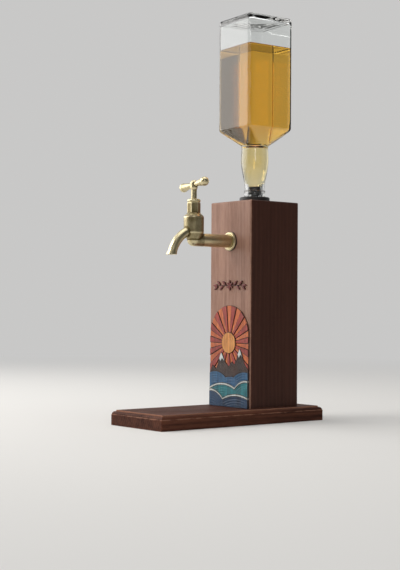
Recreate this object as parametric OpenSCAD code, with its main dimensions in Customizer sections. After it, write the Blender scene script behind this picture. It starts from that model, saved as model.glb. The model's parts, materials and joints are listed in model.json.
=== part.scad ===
// Wooden drink dispenser. A square hollow post stands on a moulded base board, a brass bib tap
// is screwed through its front face, and an upturned square bottle rests on its top and feeds
// the tap through a short hose. Millimetres, +Z up, front towards -Y.
// The origin is the middle of the underside of the base board.

/* [Base board] */
// Length of the base board, front to back
base_l = 275; // [250:1:320]
// Width of the base board
base_w = 110; // [102:1:140]
// Thickness of the base board
base_t = 19.5; // [16:0.5:26]
// Radius of the quarter round along the upper edge
ovolo_r = 4.2; // [2:0.1:6]
// Width of the small ledge outside the quarter round
ledge_w = 0.8; // [0.4:0.1:2]
// Height of the small upright above the quarter round
quirk_h = 1.4; // [0.6:0.1:3]
// Radius of the board's upright corners
base_corner_r = 1.5; // [0.5:0.1:4]

/* [Post] */
// Width of the square post
post_w = 85; // [78:1:95]
// Height of the post above the base board
post_h = 276; // [268:1:300]
// Distance from the post's back face to the board's back end
back_margin = 35.5; // [28:0.5:48]
// Thickness of the four mitred boards
board_t = 10; // [8:0.5:12]
// Rounding of the post's outer edges
post_edge_r = 2.5; // [1:0.1:4]
// Thickness of the plate let into the top of the post
top_t = 12; // [10:0.5:15]
// Height of the block inside the foot of the post
plinth_h = 30; // [26:1:60]
// Diameter of the air hole in the back board
air_hole_d = 6; // [4:0.5:10]
// Distance of the air hole below the top of the post
air_hole_drop = 36; // [24:1:90]

/* [Base screws] */
// Length of each screw
screw_l = 42; // [36:1:46]
// Diameter of the screw's shank
screw_d = 4; // [3:0.5:5]
// Diameter of the countersunk head
screw_head_d = 8; // [7:0.5:10]
// Depth of the head below the underside
screw_sink = 1; // [0.5:0.1:2]
// Distance between screws, both ways
screw_pitch = 40; // [30:1:50]
// Length of each screw's point
screw_tip_l = 3; // [2:0.5:5]
// Diameter of the flat left on each screw's point
screw_point_d = 0.8; // [0.4:0.1:1.2]
// Width across the flats of the socket in each screw's head
screw_socket_af = 3; // [2.5:0.5:4]
// Depth of that socket
screw_socket_l = 1.4; // [1:0.1:2]

/* [Bottle seat] */
// Diameter of the collar that the bottle stands on
collar_d = 41; // [34:0.5:50]
// Height of the collar above the post
collar_h = 7.4; // [6:0.1:12]
// Chamfer around the top of the collar
collar_chamfer = 1; // [0.5:0.1:2]
// Diameter of the stem's threaded shank
stem_d = 16; // [15.5:0.1:17]
// Diameter of the stem's shoulder
stem_shoulder_d = 18.6; // [18:0.1:18.8]
// Thickness of the stem's shoulder
stem_shoulder_t = 3; // [2:0.5:4]
// Diameter of the spigot inside the stopper
spigot_d = 8; // [7.6:0.1:8.4]
// Height of the spigot
spigot_h = 10; // [6:0.5:12]
// Diameter of the drain bore
drain_d = 5; // [4:0.1:5.4]
// Height of the rubber stopper
stopper_h = 14; // [13:0.5:17]
// Number of sealing rings on the stopper
stopper_rings = 3; // [2:1:4]
// Depth of the rings beyond the stopper's core
ring_depth = 0.9; // [0.5:0.1:1.2]
// Radius of each ring's round edge
ring_r = 1.5; // [1.2:0.1:1.6]
// Diameter of the air tube
vent_d = 2.6; // [2.2:0.1:2.8]
// Wall of the air tube
vent_wall = 0.45; // [0.3:0.05:0.6]
// Distance of the air tube from the stopper's axis
vent_offset = 5.95; // [5.9:0.05:6.1]
// Height of the air tube above the stopper
vent_rise = 4; // [2:0.5:10]
// Length of the air tube below the stem
vent_drop = 0.8; // [0.4:0.1:1.2]
// Length of the stem's thread below its nut
stem_spare_l = 1; // [0.5:0.5:2]
// Depth of the chamfer round the stopper's top
stopper_chamfer = 1; // [0.5:0.1:1.4]
// Height of the lowest ring above the stopper's foot
ring_start = 0.2; // [0.1:0.1:1]
// Thickness of the stem's washer
stem_washer_t = 1.5; // [1:0.1:2]
// Diameter of the stem's washer
stem_washer_d = 28; // [26:0.5:34]
// Thickness of the stem's nut
stem_nut_t = 5; // [4:0.5:6]
// Width across the flats of the stem's nut
stem_nut_af = 22; // [20:0.5:25]

/* [Hose] */
// Inside diameter of the hose
hose_id = 6.6; // [6.4:0.1:7]
// Wall of the hose
hose_wall = 1.3; // [1:0.1:1.6]
// Length of each hose barb
barb_l = 8; // [7:0.5:9]
// Number of ridges on a barb
barb_ridges = 3; // [2:1:4]
// Depth of the barb's ridges
barb_depth = 0.5; // [0.3:0.05:0.6]
// Width of each hose clamp
clamp_w = 5; // [4:0.5:6]
// Thickness of the clamp's band
clamp_t = 0.7; // [0.5:0.1:1]
// Height of the clamp's screw housing
housing_h = 4; // [3:0.5:5]
// Length of the clamp's screw housing
housing_l = 7; // [6:0.5:9]
// Diameter of the clamp's screw head
clamp_screw_d = 3.2; // [2.8:0.1:4]
// Length of the clamp's screw head
clamp_screw_l = 1.8; // [1:0.1:2.5]
// Distance of each clamp from its end of the hose
clamp_inset = 1.2; // [0.8:0.1:2]
// Gap between each end of the hose and what it is pushed up to
hose_gap = 0.3; // [0.1:0.1:0.6]
// Width of the plain root of each barb
barb_root_l = 1; // [0.5:0.1:1.5]

/* [Tap] */
// Distance of the tap's pipe below the top of the post
tap_drop = 54; // [50:0.5:60]
// Distance of the tap's barrel in front of the post
tap_reach = 63; // [56:0.5:72]
// Diameter of the pipe
pipe_d = 17.4; // [16.8:0.1:18.5]
// Diameter of the threaded tail
tail_d = 16.4; // [15.5:0.1:16.6]
// Diameter of the wall flange
flange_d = 25.2; // [22:0.1:32]
// Thickness of the wall flange
flange_t = 2.8; // [2:0.1:4]
// Thickness of the rubber ring behind the flange
gasket_t = 0.9; // [0.5:0.1:1.5]
// Thickness of the tail's washer
tail_washer_t = 1; // [0.8:0.1:1.5]
// Thickness of the tail's nut
tail_nut_t = 4; // [3.5:0.5:5]
// Width across the flats of the tail's nut
tail_nut_af = 22; // [21:0.5:26]
// Length of the tail's thread beyond its nut
tail_spare_l = 0.6; // [0.4:0.1:2]
// Margin of the tail's washer round its nut
tail_washer_rim = 1.5; // [1:0.1:3]
// Margin of the rubber ring round the flange
gasket_rim = 0.5; // [0.2:0.1:1]
// Chamfer round the flange's front
flange_chamfer = 1; // [0.5:0.1:1.6]
// Width of that chamfer on the flange's face
flange_bevel = 1.6; // [0.8:0.1:2.4]
// Width across the flats of the hose tail's hexagon
tail_hex_af = 14; // [12:0.5:16]
// Thickness of that hexagon
tail_hex_t = 2.5; // [2:0.5:4]
// Length of the hose tail's plug in the tap
tail_plug_l = 6; // [4:0.5:8]
// Diameter of that plug
tail_plug_d = 10; // [9:0.1:11]
// Clear depth beyond the plug
tail_plug_room = 0.5; // [0.2:0.1:1]
// Diameter of the barrel
barrel_d = 26.6; // [25.6:0.1:28]
// Height of the barrel's rim above the pipe's axis
barrel_h = 30.4; // [29:0.1:33]
// Height above the pipe's axis where the barrel begins to taper
taper_h = 9; // [8:0.5:12]
// Diameter of the water way
way_d = 8; // [7:0.1:8.4]
// Diameter of the valve chamber
chamber_d = 17; // [16:0.1:17.4]
// Diameter of the valve seat's opening
seat_d = 6.8; // [6.4:0.1:7.2]
// Height of the chamber's floor above the pipe's axis
floor_h = 5; // [4.8:0.1:5.4]
// Height of the seat above the chamber's floor
seat_h = 1; // [0.5:0.1:1.5]
// Width of the seat's ring
seat_rim = 1.8; // [1.4:0.1:2]
// Depth of the barrel's thread beyond the bonnet's
thread_room = 1.5; // [0.5:0.1:2.5]

/* [Spout] */
// Outside diameter of the spout
spout_d = 12; // [11.6:0.1:13]
// Diameter of the cored bore along the spout's bend
spout_core_d = 8; // [7.4:0.1:8.2]
// Diameter of the reamed bore behind the mouth
spout_bore_d = 8.4; // [8.4:0.1:9]
// Radius of the spout's bend
spout_bend_r = 42; // [40:0.5:44]
// Angle below level at which the bend starts inside the barrel
spout_lead = 10; // [8:1:12]
// Angle below level at which the spout's end slants
spout_fall = 72; // [70:0.5:74]
// Distance of the mouth's middle in front of the barrel's axis
spout_reach = 36.1; // [35:0.1:37]
// Depth of the level mouth below the pipe's axis
spout_drop = 20.6; // [20:0.1:21]
// Length of the upright bore behind the mouth
outlet_l = 5; // [4.5:0.5:5.5]
// Diameter of the flared mouth
flare_d = 15.6; // [14:0.1:16]
// Length of the flare
flare_l = 8.4; // [7:0.2:8.6]

/* [Headwork] */
// Diameter of the bonnet's thread
bonnet_thread_d = 19.4; // [19:0.1:19.8]
// Length of the bonnet's thread inside the barrel
bonnet_thread_l = 9; // [7:0.5:10]
// Thickness of the fibre ring below the bonnet
fibre_t = 0.7; // [0.4:0.1:1]
// Height of the bonnet's conical shoulder
bonnet_cone_h = 3.8; // [3:0.1:5]
// Diameter at the foot of the bonnet's shoulder
bonnet_foot_d = 25; // [24:0.1:25.4]
// Width across the flats of the bonnet
bonnet_af = 15.4; // [15:0.1:17]
// Height of the bonnet's hexagon
bonnet_hex_h = 13.7; // [13:0.1:16]
// Diameter of the gland nut
gland_d = 17.6; // [16:0.1:19]
// Height of the gland nut
gland_h = 4.6; // [4:0.1:6]
// Diameter of the packing box
packing_d = 12; // [11:0.1:12.4]
// Height of the gland packing
packing_h = 1.8; // [1.5:0.1:2.4]
// Length of the gland nut's plug
gland_plug_l = 2.2; // [1.5:0.1:2.6]
// Step from the bonnet's shoulder in to its hexagon
bonnet_step = 0.8; // [0.4:0.1:1.4]
// Margin of the bonnet's foot round the fibre ring
fibre_inset = 0.2; // [0.1:0.1:0.6]
// Thickness of the bonnet's web between its thread and the packing
web_t = 2.6; // [2:0.1:4]

/* [Spindle and valve] */
// Diameter of the spindle's thread
spindle_thread_d = 10; // [9.6:0.1:10.4]
// Diameter of the spindle's stem
spindle_d = 7.6; // [7:0.1:8]
// Height of the stem that shows above the gland nut
stem_show = 12.4; // [8:0.1:16]
// Width of the square at the spindle's top
square_w = 5; // [4.6:0.1:5.2]
// Lift of the valve from shut to fully open
valve_lift = 3; // [2:0.5:3.5]
// Diameter of the jumper's disc
jumper_d = 12.4; // [12:0.1:13]
// Thickness of the jumper's disc
jumper_t = 2.2; // [1.8:0.1:2.6]
// Diameter of the jumper's stem
jumper_stem_d = 5; // [4.6:0.1:5.2]
// Length of the jumper's stem
jumper_stem_l = 14; // [10:0.5:16]
// Diameter of the tap washer
washer_d = 11.2; // [10.8:0.1:12]
// Thickness of the tap washer
washer_t = 3; // [2.5:0.1:3.5]
// Diameter of the jumper's threaded spigot
jumper_spigot_d = 3; // [2.6:0.1:3.2]
// Gap between the valve's loose pieces, and between bottle and collar
valve_gap = 0.1; // [0.05:0.05:0.2]
// Length of the jumper's thread beyond its nut
spigot_spare_l = 0.4; // [0.2:0.1:0.8]
// Clear depth above the jumper's stem
jumper_room = 0.5; // [0.2:0.1:1]
// Width across the flats of the small washer nut
washer_nut_af = 5; // [4.6:0.1:5.2]
// Thickness of the small washer nut
washer_nut_t = 1.6; // [1.4:0.1:2]

/* [Handle] */
// Length of the cross bar from tip to tip
handle_l = 62; // [50:1:70]
// Diameter of the bar where it leaves the hub
arm_root_d = 5.4; // [5:0.1:6.4]
// Diameter of the bar's round ends
arm_end_d = 12; // [9:0.1:12.6]
// Flare of the arms, 1 for a straight cone and more for a later swelling
arm_flare = 1.4; // [1:0.1:2]
// Diameter of the hub
hub_d = 9.8; // [9.4:0.1:12]
// Height of the hub
hub_h = 11.6; // [10.6:0.1:14]
// Angle of the bar from the X direction, as photographed
handle_turn = -6; // [-90:1:90]
// Lean of the bar on its square, as photographed
handle_lean = 5.5; // [0:0.5:8]
// Height of the hub's conical foot
hub_foot_h = 2.6; // [1.5:0.1:4]
// Narrowing of the hub at its foot
hub_foot_in = 0.8; // [0.2:0.1:1]
// Height of the hub's sloping top
hub_dome_h = 2.4; // [1.5:0.1:3]
// Narrowing of the hub at its top
hub_dome_in = 1.6; // [0.8:0.1:1.8]
// Height of the bar's axis above the hub's foot
bar_h = 6.5; // [5.6:0.1:7.4]
// Thickness of the hub between the square and the screw's head
hub_web_t = 1.2; // [1:0.1:2]
// Clear height above the square in the hub
square_room = 0.2; // [0.1:0.1:0.4]
// Height of the handle screw's domed top
screw_dome_h = 1.3; // [0.6:0.1:1.6]
// Depth of the screw's rim below the hub's top
screw_rim_sink = 0.2; // [0:0.1:0.6]
// Diameter of the handle screw's head
handle_screw_head_d = 5.6; // [5:0.1:6]
// Diameter of the handle screw
handle_screw_d = 2.6; // [2:0.1:3]
// Length of the handle screw below its head
handle_screw_l = 8; // [7.6:0.5:10]

/* [Bottle] */
// Width of the square body
bottle_w = 73; // [66:1:76]
// Length of the square body
bottle_body_h = 152; // [120:1:180]
// Rounding of the body's upright edges
bottle_edge_r = 4; // [3.5:0.5:8]
// Rounding around the bottle's foot
bottle_foot_r = 4; // [2:0.5:6]
// Thickness of the glass
glass_t = 3; // [2.5:0.1:3.5]
// Thickness of the bottle's foot
foot_t = 6; // [5:0.5:9]
// Turn of the bottle on its seat, as photographed
bottle_turn = -4.7; // [-20:0.1:20]
// Diameter of the mouth's bore
mouth_d = 19; // [18.9:0.1:20]
// Length of the mouth's straight bore
mouth_l = 20; // [17:0.5:24]
// Diameter of the lip
lip_d = 29; // [27:0.1:30]
// Height of the lip
lip_h = 9; // [7:0.1:11]
// Height of the narrow ring on the upper part of the lip
lip_ring_h = 2; // [1.2:0.1:3]
// Depth of the groove below that ring
lip_groove = 0.5; // [0.3:0.1:0.8]
// Chamfer of the lip's edge
lip_edge = 0.8; // [0.4:0.1:1.2]
// Least diameter of the neck
neck_d = 27; // [26.6:0.1:28.4]
// Greatest diameter of the neck's swelling
bulge_d = 37.6; // [35:0.1:40]
// Height of the swelling above the mouth
bulge_h = 50; // [45:0.5:54]
// Length of the neck from mouth to shoulder
neck_l = 70; // [66:0.5:76]
// Diameter of the neck where it meets the shoulder
neck_top_d = 35.6; // [34:0.1:37]
// Height of the ring where the neck meets the shoulder
neck_ring_h = 3; // [2:0.5:5]
// Rim of that ring round the neck
neck_ring_rim = 0.5; // [0.2:0.1:1]
// Wall of the neck
neck_wall = 4.2; // [3:0.1:5]
// Height above the mouth's straight bore where the neck's hollow begins to follow its outside
bore_run = 6; // [4:0.5:10]
// Height of the dome pressed into the bottle's foot
punt_h = 3.5; // [1:0.5:5]
// Width of the ring that the bottle would stand on
stand_ring_w = 9; // [6:0.5:14]
// Height of the sloping shoulder
shoulder_h = 21; // [17:0.5:28]
// Height of the drink above the shoulder
drink_h = 112; // [20:1:140]

/* [Carved relief] */
// Height of the picture's arch above the base board
arch_top = 136; // [120:1:145]
// Side margin of the picture on the post's flat face
field_margin = 0.3; // [0.2:0.1:2]
// Height of the sun's middle above the base board
sun_h = 86; // [78:1:96]
// Radius of the sun
sun_r = 14; // [10:0.5:18]
// Number of rays all round
ray_count = 30; // [20:2:40]
// Angle of the gap between neighbouring rays
ray_slit = 0.7; // [0.3:0.1:1.5]
// Gap left by the saw between neighbouring pieces
kerf = 0.3; // [0.2:0.05:0.6]
// Thickness of the orange rays
low_ray_t = 1.4; // [1:0.1:2]
// Thickness of the red rays
high_ray_t = 2.1; // [1.5:0.1:3]
// Thickness of the sun
sun_t = 2.7; // [2:0.1:3.5]
// Thickness of the mountain peaks
peak_t = 2.2; // [1.5:0.1:3]
// Thickness of the snow caps
cap_t = 2.8; // [2:0.1:3.5]
// Height of the snow caps
cap_h = 13; // [8:0.5:18]
// Width that a snow cap would have if its mountain were wide enough
cap_w = 28; // [20:1:36]
// Thickness of the far ridge
ridge_t = 2.6; // [2:0.1:3.5]
// Thickness of the hills
hill_t = 3; // [2:0.1:4]
// Thickness of the pale crests
crest_t = 3.5; // [2.4:0.1:4.5]
// Width of the pale crests
crest_w = 2.4; // [1.5:0.1:4]
// Thickness of the low shore
shore_t = 3.2; // [2.4:0.1:4]

/* [Ornament] */
// Height of the ornament's middle above the base board
ornament_h = 163; // [158:0.5:180]
// Length of the ornament
ornament_l = 68; // [50:1:74]
// Thickness of the ornament
ornament_t = 2; // [1.5:0.1:3]
// Length of each leaf
leaf_l = 9.4; // [7:0.1:10]
// Width of each leaf
leaf_w = 3.6; // [2.2:0.1:4.2]
// Number of leaves along each stalk
leaf_count = 4; // [3:1:5]
// Slant of the leaves from the stalk
leaf_tilt = 40; // [25:1:55]
// Width of the ornament's stalks
stalk_w = 1; // [0.8:0.1:1.6]
// Number of petals of the flower between the stalks
petal_count = 6; // [5:1:8]
// Length of each petal
petal_l = 7; // [5:0.1:8]
// Width of each petal
petal_w = 3; // [2:0.1:3.6]

/* [Fits] */
// Gap round a loose pin, screw or pipe in its hole
loose = 0.2; // [0.1:0.05:0.3]
// Running gap round turning and sliding pieces
running = 0.1; // [0.05:0.01:0.1]
// Gap of a close fit, such as a thread or a pushed-on tube
close = 0.05; // [0.02:0.01:0.05]
// Gap between the drink and what it touches
drink_gap = 0.15; // [0.05:0.05:0.3]

/* [Hidden] */
$fn = 64;
// Added to a cut so that it runs clean through
over = 1;
// How far the cone that turns off a nut's corners reaches onto its flats
corner_cut = 0.6;

// Places on the stand
post_front = base_l / 2 - back_margin - post_w;
post_mid = post_front + post_w / 2;
post_top = base_t + post_h;
inner_w = post_w - 2 * board_t;
screw_head_h = (screw_head_d - screw_d) / 2;

// Heights on the axis of the bottle
collar_top = post_top + collar_h;
stopper_top = collar_top + stopper_h;
stem_nut_z = post_top - top_t - stem_washer_t - stem_nut_t;
stem_end_z = stem_nut_z - stem_spare_l;
stem_barb_end = stem_end_z - barb_l;

// Places on the axis of the tap
tap_z = post_top - tap_drop;
tap_y = post_front - tap_reach;
pipe_end = post_front - gasket_t - flange_t;
tail_end = post_front + board_t + tail_washer_t + tail_nut_t + tail_spare_l;
tail_barb_end = tail_end + tail_hex_t + barb_l;
hose_bend_r = post_mid - tail_barb_end;
barb_d = hose_id - 2 * close;
hose_top = stem_end_z - hose_gap;
hose_start = tail_end + tail_hex_t + hose_gap;

// Heights above the pipe's axis along the spindle
seat_z = floor_h + seat_h;
washer_z = seat_z + valve_gap;
jumper_z = washer_z + washer_t;
spindle_z = jumper_z + jumper_t + valve_gap;
bonnet_z = barrel_h + fibre_t;
hex_z = bonnet_z + bonnet_cone_h;
gland_z = hex_z + bonnet_hex_h;
packing_z = gland_z - gland_plug_l - packing_h;
thread_top = packing_z - web_t;
elbow_reach = spout_reach - outlet_l / tan(spout_fall);
flare_foot = flare_d / 2 / tan(spout_fall) + over;
slant_l = flare_foot + outlet_l / sin(spout_fall);
spindle_shoulder = thread_top - valve_lift - valve_gap;
hub_z = gland_z + gland_h + stem_show;
bar_z = hub_z + bar_h;
screw_seat_z = hub_z + hub_h - hub_dome_h;
square_top = screw_seat_z - hub_web_t;

// The bottle from its mouth upwards
bottle_z = collar_top + valve_gap;
shoulder_z = neck_l;
body_z = neck_l + shoulder_h;
bottle_h = body_z + bottle_body_h;

// The picture's field on the front face
field_w = post_w - 2 * post_edge_r - 2 * field_margin;
field_z = base_t + kerf;
sun_z = base_t + sun_h;
// Points of the mountains: share of the picture's width from its middle, share of its height
PEAKS = [
    [-0.50, 0.324], [-0.42, 0.404], [-0.34, 0.368], [-0.19, 0.537], [-0.08, 0.434], [0.00, 0.397],
    [0.08, 0.449], [0.15, 0.419], [0.29, 0.581], [0.40, 0.441], [0.50, 0.375]
];
SUMMITS = [3, 8];
// Hills: share of the width, share of the height to the top, radius as a share of the height
FAR_HILLS = [[-0.34, 0.346, 0.250], [0.06, 0.301, 0.294], [0.42, 0.353, 0.265]];
MID_HILLS = [[-0.14, 0.235, 0.441], [0.46, 0.272, 0.221]];
NEAR_HILLS = [[-0.46, 0.169, 0.250], [0.22, 0.132, 0.515]];

// Small shared shapes

// Square with round corners, centred, made of whole circles so that its arcs stay true
module round_square(w, l, r) {
    square([w - 2 * r, l], center = true);
    square([w, l - 2 * r], center = true);
    for (x = [-1, 1], y = [-1, 1]) translate([x * (w / 2 - r), y * (l / 2 - r)]) circle(r);
}

// Upright outline, w wide and h high, whose two upper corners are round
module round_topped(w, h, r) {
    translate([-w / 2, 0]) square([w, h - r]);
    translate([-w / 2 + r, 0]) square([w - 2 * r, h]);
    for (x = [-1, 1]) translate([x * (w / 2 - r), h - r]) circle(r);
}

// Both upright extrusions of one outline, crossed, so that all four sides have its profile
module crossed(w, l) {
    intersection() {
        rotate([90, 0, 0]) linear_extrude(l, center = true) children(0);
        rotate([90, 0, 90]) linear_extrude(w, center = true) children(1);
    }
}

module tube(r_out, r_in, h) {
    difference() {
        cylinder(r = r_out, h = h);
        translate([0, 0, -over]) cylinder(r = r_in, h = h + 2 * over);
    }
}

// Hexagon prism measured across its flats
module hexagon(af, h) {
    cylinder(r = af / 2 / cos(30), h = h, $fn = 6);
}

// Hexagon whose upper corners are turned off by a cone that leaves the flats whole
module turned_hexagon(af, h) {
    corner = af / 2 / cos(30);
    turned_r = corner - (corner - af / 2) * corner_cut;
    intersection() {
        hexagon(af, h);
        cylinder(r1 = turned_r + h, r2 = turned_r, h = h);
    }
}

// Hexagon nut with its corners turned off at both ends, bored to take a thread
module hex_nut(af, h, bore) {
    difference() {
        intersection() {
            turned_hexagon(af, h);
            translate([0, 0, h]) mirror([0, 0, 1]) turned_hexagon(af, h);
        }
        translate([0, 0, -over]) cylinder(r = bore / 2, h = h + 2 * over);
    }
}

// Hose barb, ridged, from its root at z = 0 up to its tip
module barb(bore) {
    ridge_l = (barb_l - barb_root_l) / barb_ridges;
    difference() {
        union() {
            cylinder(r = barb_d / 2 - barb_depth, h = barb_l);
            for (i = [0 : barb_ridges - 1])
                translate([0, 0, barb_root_l + i * ridge_l])
                    cylinder(r1 = barb_d / 2, r2 = barb_d / 2 - barb_depth, h = ridge_l);
        }
        translate([0, 0, -over]) cylinder(r = bore / 2, h = barb_l + 2 * over);
    }
}

// Puts a piece drawn along +Z on the tap's pipe axis, running back towards the post
module on_pipe(y) {
    translate([0, y, tap_z]) rotate([-90, 0, 0]) children();
}

// Puts a piece on the upright axis of the tap's barrel, heights measured from the pipe's axis
module on_barrel(z) {
    translate([0, tap_y, tap_z + z]) children();
}

// Puts a piece on the upright axis of the post and bottle
module on_post(z) {
    translate([0, post_mid, z]) children();
}

// Base board, fixed to the post from below

module base_form() {
    edge = ovolo_r + ledge_w;
    module side(w) {
        step_z = base_t - quirk_h - ovolo_r;
        translate([-w / 2, 0]) square([w, step_z]);
        translate([-w / 2 + edge, 0]) square([w - 2 * edge, base_t]);
        for (x = [-1, 1]) translate([x * (w / 2 - edge), step_z]) circle(ovolo_r);
    }
    intersection() {
        crossed(base_w, base_l) {
            side(base_w);
            side(base_l);
        }
        linear_extrude(base_t) round_square(base_w, base_l, base_corner_r);
    }
}

module at_screws() {
    for (x = [-1, 1], y = [-1, 1])
        translate([x * screw_pitch / 2, post_mid + y * screw_pitch / 2, 0]) children();
}

// Room for one screw, wider than the screw by the gap all round
module screw_room(gap, head_gap) {
    translate([0, 0, -over]) cylinder(r = screw_head_d / 2 + head_gap, h = screw_sink + over);
    translate([0, 0, screw_sink])
        cylinder(r1 = screw_head_d / 2 + head_gap, r2 = screw_d / 2 + head_gap, h = screw_head_h);
    cylinder(r = screw_d / 2 + gap, h = screw_sink + screw_l + over);
}

module base_board() {
    color("#5a3226") difference() {
        base_form();
        at_screws() screw_room(loose, close);
    }
}

module base_screws() {
    color("#b9b4a6") at_screws() translate([0, 0, screw_sink]) difference() {
        union() {
            cylinder(r1 = screw_head_d / 2, r2 = screw_d / 2, h = screw_head_h);
            cylinder(r = screw_d / 2, h = screw_l - screw_tip_l);
            translate([0, 0, screw_l - screw_tip_l])
                cylinder(r1 = screw_d / 2, r2 = screw_point_d / 2, h = screw_tip_l);
        }
        translate([0, 0, -over]) hexagon(screw_socket_af, over + screw_socket_l);
    }
}

// Post: four mitred boards, the plate let into the top and the block inside the foot

module post_form() {
    on_post(base_t) intersection() {
        linear_extrude(post_h) round_square(post_w, post_w, post_edge_r);
        crossed(post_w, post_w) {
            round_topped(post_w, post_h, post_edge_r);
            round_topped(post_w, post_h, post_edge_r);
        }
    }
}

// One board of the post, side 0 in front and the others going round anticlockwise
module mitred_board(side) {
    half = post_w / 2;
    inner = inner_w / 2;
    intersection() {
        post_form();
        on_post(base_t - over) rotate([0, 0, 90 * side]) linear_extrude(post_h + 2 * over)
            polygon([[-half, -half], [half, -half], [inner, -inner], [-inner, -inner]]);
    }
}

module front_board() {
    color("#8a5f4c") difference() {
        mitred_board(0);
        on_pipe(post_front - over) cylinder(r = tail_d / 2 + loose, h = board_t + 2 * over);
    }
}

module back_board() {
    color("#4a2a20") difference() {
        mitred_board(2);
        translate([0, post_front + post_w - board_t - over, post_top - air_hole_drop])
            rotate([-90, 0, 0]) cylinder(r = air_hole_d / 2, h = board_t + 2 * over);
    }
}

module right_board() {
    color("#43251c") mitred_board(1);
}

module left_board() {
    color("#43251c") mitred_board(3);
}

module top_plate() {
    color("#6b4435") on_post(post_top - top_t) difference() {
        linear_extrude(top_t) square(inner_w, center = true);
        translate([0, 0, -over]) cylinder(r = stem_d / 2 + loose, h = top_t + 2 * over);
    }
}

module plinth_block() {
    color("#9c7a58") difference() {
        on_post(base_t) linear_extrude(plinth_h) square(inner_w, center = true);
        at_screws() screw_room(close, close);
    }
}

// Bottle seat: collar, stem clamped through the top plate, rubber stopper and air tube

module seat_collar() {
    recess = stem_shoulder_t;
    color("#201714") on_post(post_top) difference() {
        union() {
            cylinder(r = collar_d / 2, h = collar_h - collar_chamfer);
            translate([0, 0, collar_h - collar_chamfer])
                cylinder(r1 = collar_d / 2, r2 = collar_d / 2 - collar_chamfer, h = collar_chamfer);
        }
        translate([0, 0, -over]) cylinder(r = stem_d / 2 + loose, h = collar_h + 2 * over);
        translate([0, 0, collar_h - recess]) cylinder(r = stem_shoulder_d / 2 + loose, h = recess + over);
    }
}

module stopper_stem() {
    shoulder_z0 = collar_top - stem_shoulder_t;
    color("#b8923f") on_post(0) difference() {
        union() {
            translate([0, 0, shoulder_z0]) cylinder(r = stem_shoulder_d / 2, h = stem_shoulder_t);
            translate([0, 0, stem_end_z]) cylinder(r = stem_d / 2, h = shoulder_z0 - stem_end_z);
            translate([0, 0, collar_top]) cylinder(r = spigot_d / 2, h = spigot_h);
            translate([0, 0, stem_end_z]) mirror([0, 0, 1]) barb(drain_d);
        }
        translate([0, 0, stem_barb_end - over])
            cylinder(r = drain_d / 2, h = collar_top + spigot_h - stem_barb_end + 2 * over);
        translate([0, vent_offset, stem_end_z - over])
            cylinder(r = vent_d / 2 + close, h = collar_top - stem_end_z + 2 * over);
    }
}

module stem_washer() {
    color("#a9a9a4") on_post(post_top - top_t - stem_washer_t)
        tube(stem_washer_d / 2, stem_d / 2 + loose, stem_washer_t);
}

module stem_nut() {
    color("#b8923f") on_post(stem_nut_z) hex_nut(stem_nut_af, stem_nut_t, stem_d + 2 * close);
}

module bottle_stopper() {
    core_r = mouth_d / 2 - running - ring_depth;
    ring_step = (stopper_h - 2 * ring_r) / stopper_rings;
    edge_z = stopper_h - stopper_chamfer;
    color("#2b2b2b") on_post(collar_top) difference() {
        rotate_extrude() {
            square([core_r, edge_z]);
            polygon([[0, edge_z], [core_r, edge_z], [core_r - stopper_chamfer, stopper_h], [0, stopper_h]]);
            for (i = [0 : stopper_rings - 1])
                translate([core_r + ring_depth - ring_r, ring_r + ring_start + i * ring_step]) circle(ring_r);
        }
        translate([0, 0, -over]) cylinder(r = spigot_d / 2 + close, h = spigot_h + over + close);
        cylinder(r = drain_d / 2, h = stopper_h + over);
        translate([0, vent_offset, -over]) cylinder(r = vent_d / 2 + close, h = stopper_h + 2 * over);
    }
}

module air_tube() {
    foot = stem_end_z - vent_drop;
    color("#c9cbcc") on_post(foot) translate([0, vent_offset, 0])
        tube(vent_d / 2, vent_d / 2 - vent_wall, stopper_top + vent_rise - foot);
}

// Hose from the stem's barb down and forward to the tap's tail

module hose_run(r) {
    bend_z = tap_z + hose_bend_r;
    on_post(bend_z) cylinder(r = r, h = hose_top - bend_z);
    translate([0, tail_barb_end, bend_z]) rotate([90, 0, 90]) rotate([0, 0, -90])
        rotate_extrude(angle = 90) translate([hose_bend_r, 0]) circle(r);
    on_pipe(hose_start) cylinder(r = r, h = tail_barb_end - hose_start);
}

module drain_hose() {
    color("#d9d6cc") difference() {
        hose_run(hose_id / 2 + hose_wall);
        hose_run(hose_id / 2);
        on_post(hose_top - over) cylinder(r = hose_id / 2, h = 2 * over);
        on_pipe(hose_start - over) cylinder(r = hose_id / 2, h = 2 * over);
    }
}

// One clamp round a hose along +Z: band, screw housing and screw
module hose_clamp() {
    band_r = hose_id / 2 + hose_wall + close;
    edge = 0.06 * clamp_w;
    difference() {
        union() {
            cylinder(r = band_r + clamp_t, h = clamp_w);
            translate([band_r, -housing_l / 2, edge]) cube([housing_h, housing_l, clamp_w - 2 * edge]);
            translate([band_r + housing_h / 2 + clamp_t / 2, housing_l / 2, clamp_w / 2])
                rotate([-90, 0, 0]) cylinder(r = clamp_screw_d / 2, h = clamp_screw_l);
        }
        translate([0, 0, -over]) cylinder(r = band_r, h = clamp_w + 2 * over);
    }
}

module hose_clamps() {
    color("#b7babd") {
        on_post(hose_top - clamp_inset - clamp_w) hose_clamp();
        on_pipe(hose_start + clamp_inset) rotate([0, 0, -90]) hose_clamp();
    }
}

// Tap: body with its water way, tail, flange and inside fittings

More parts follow.
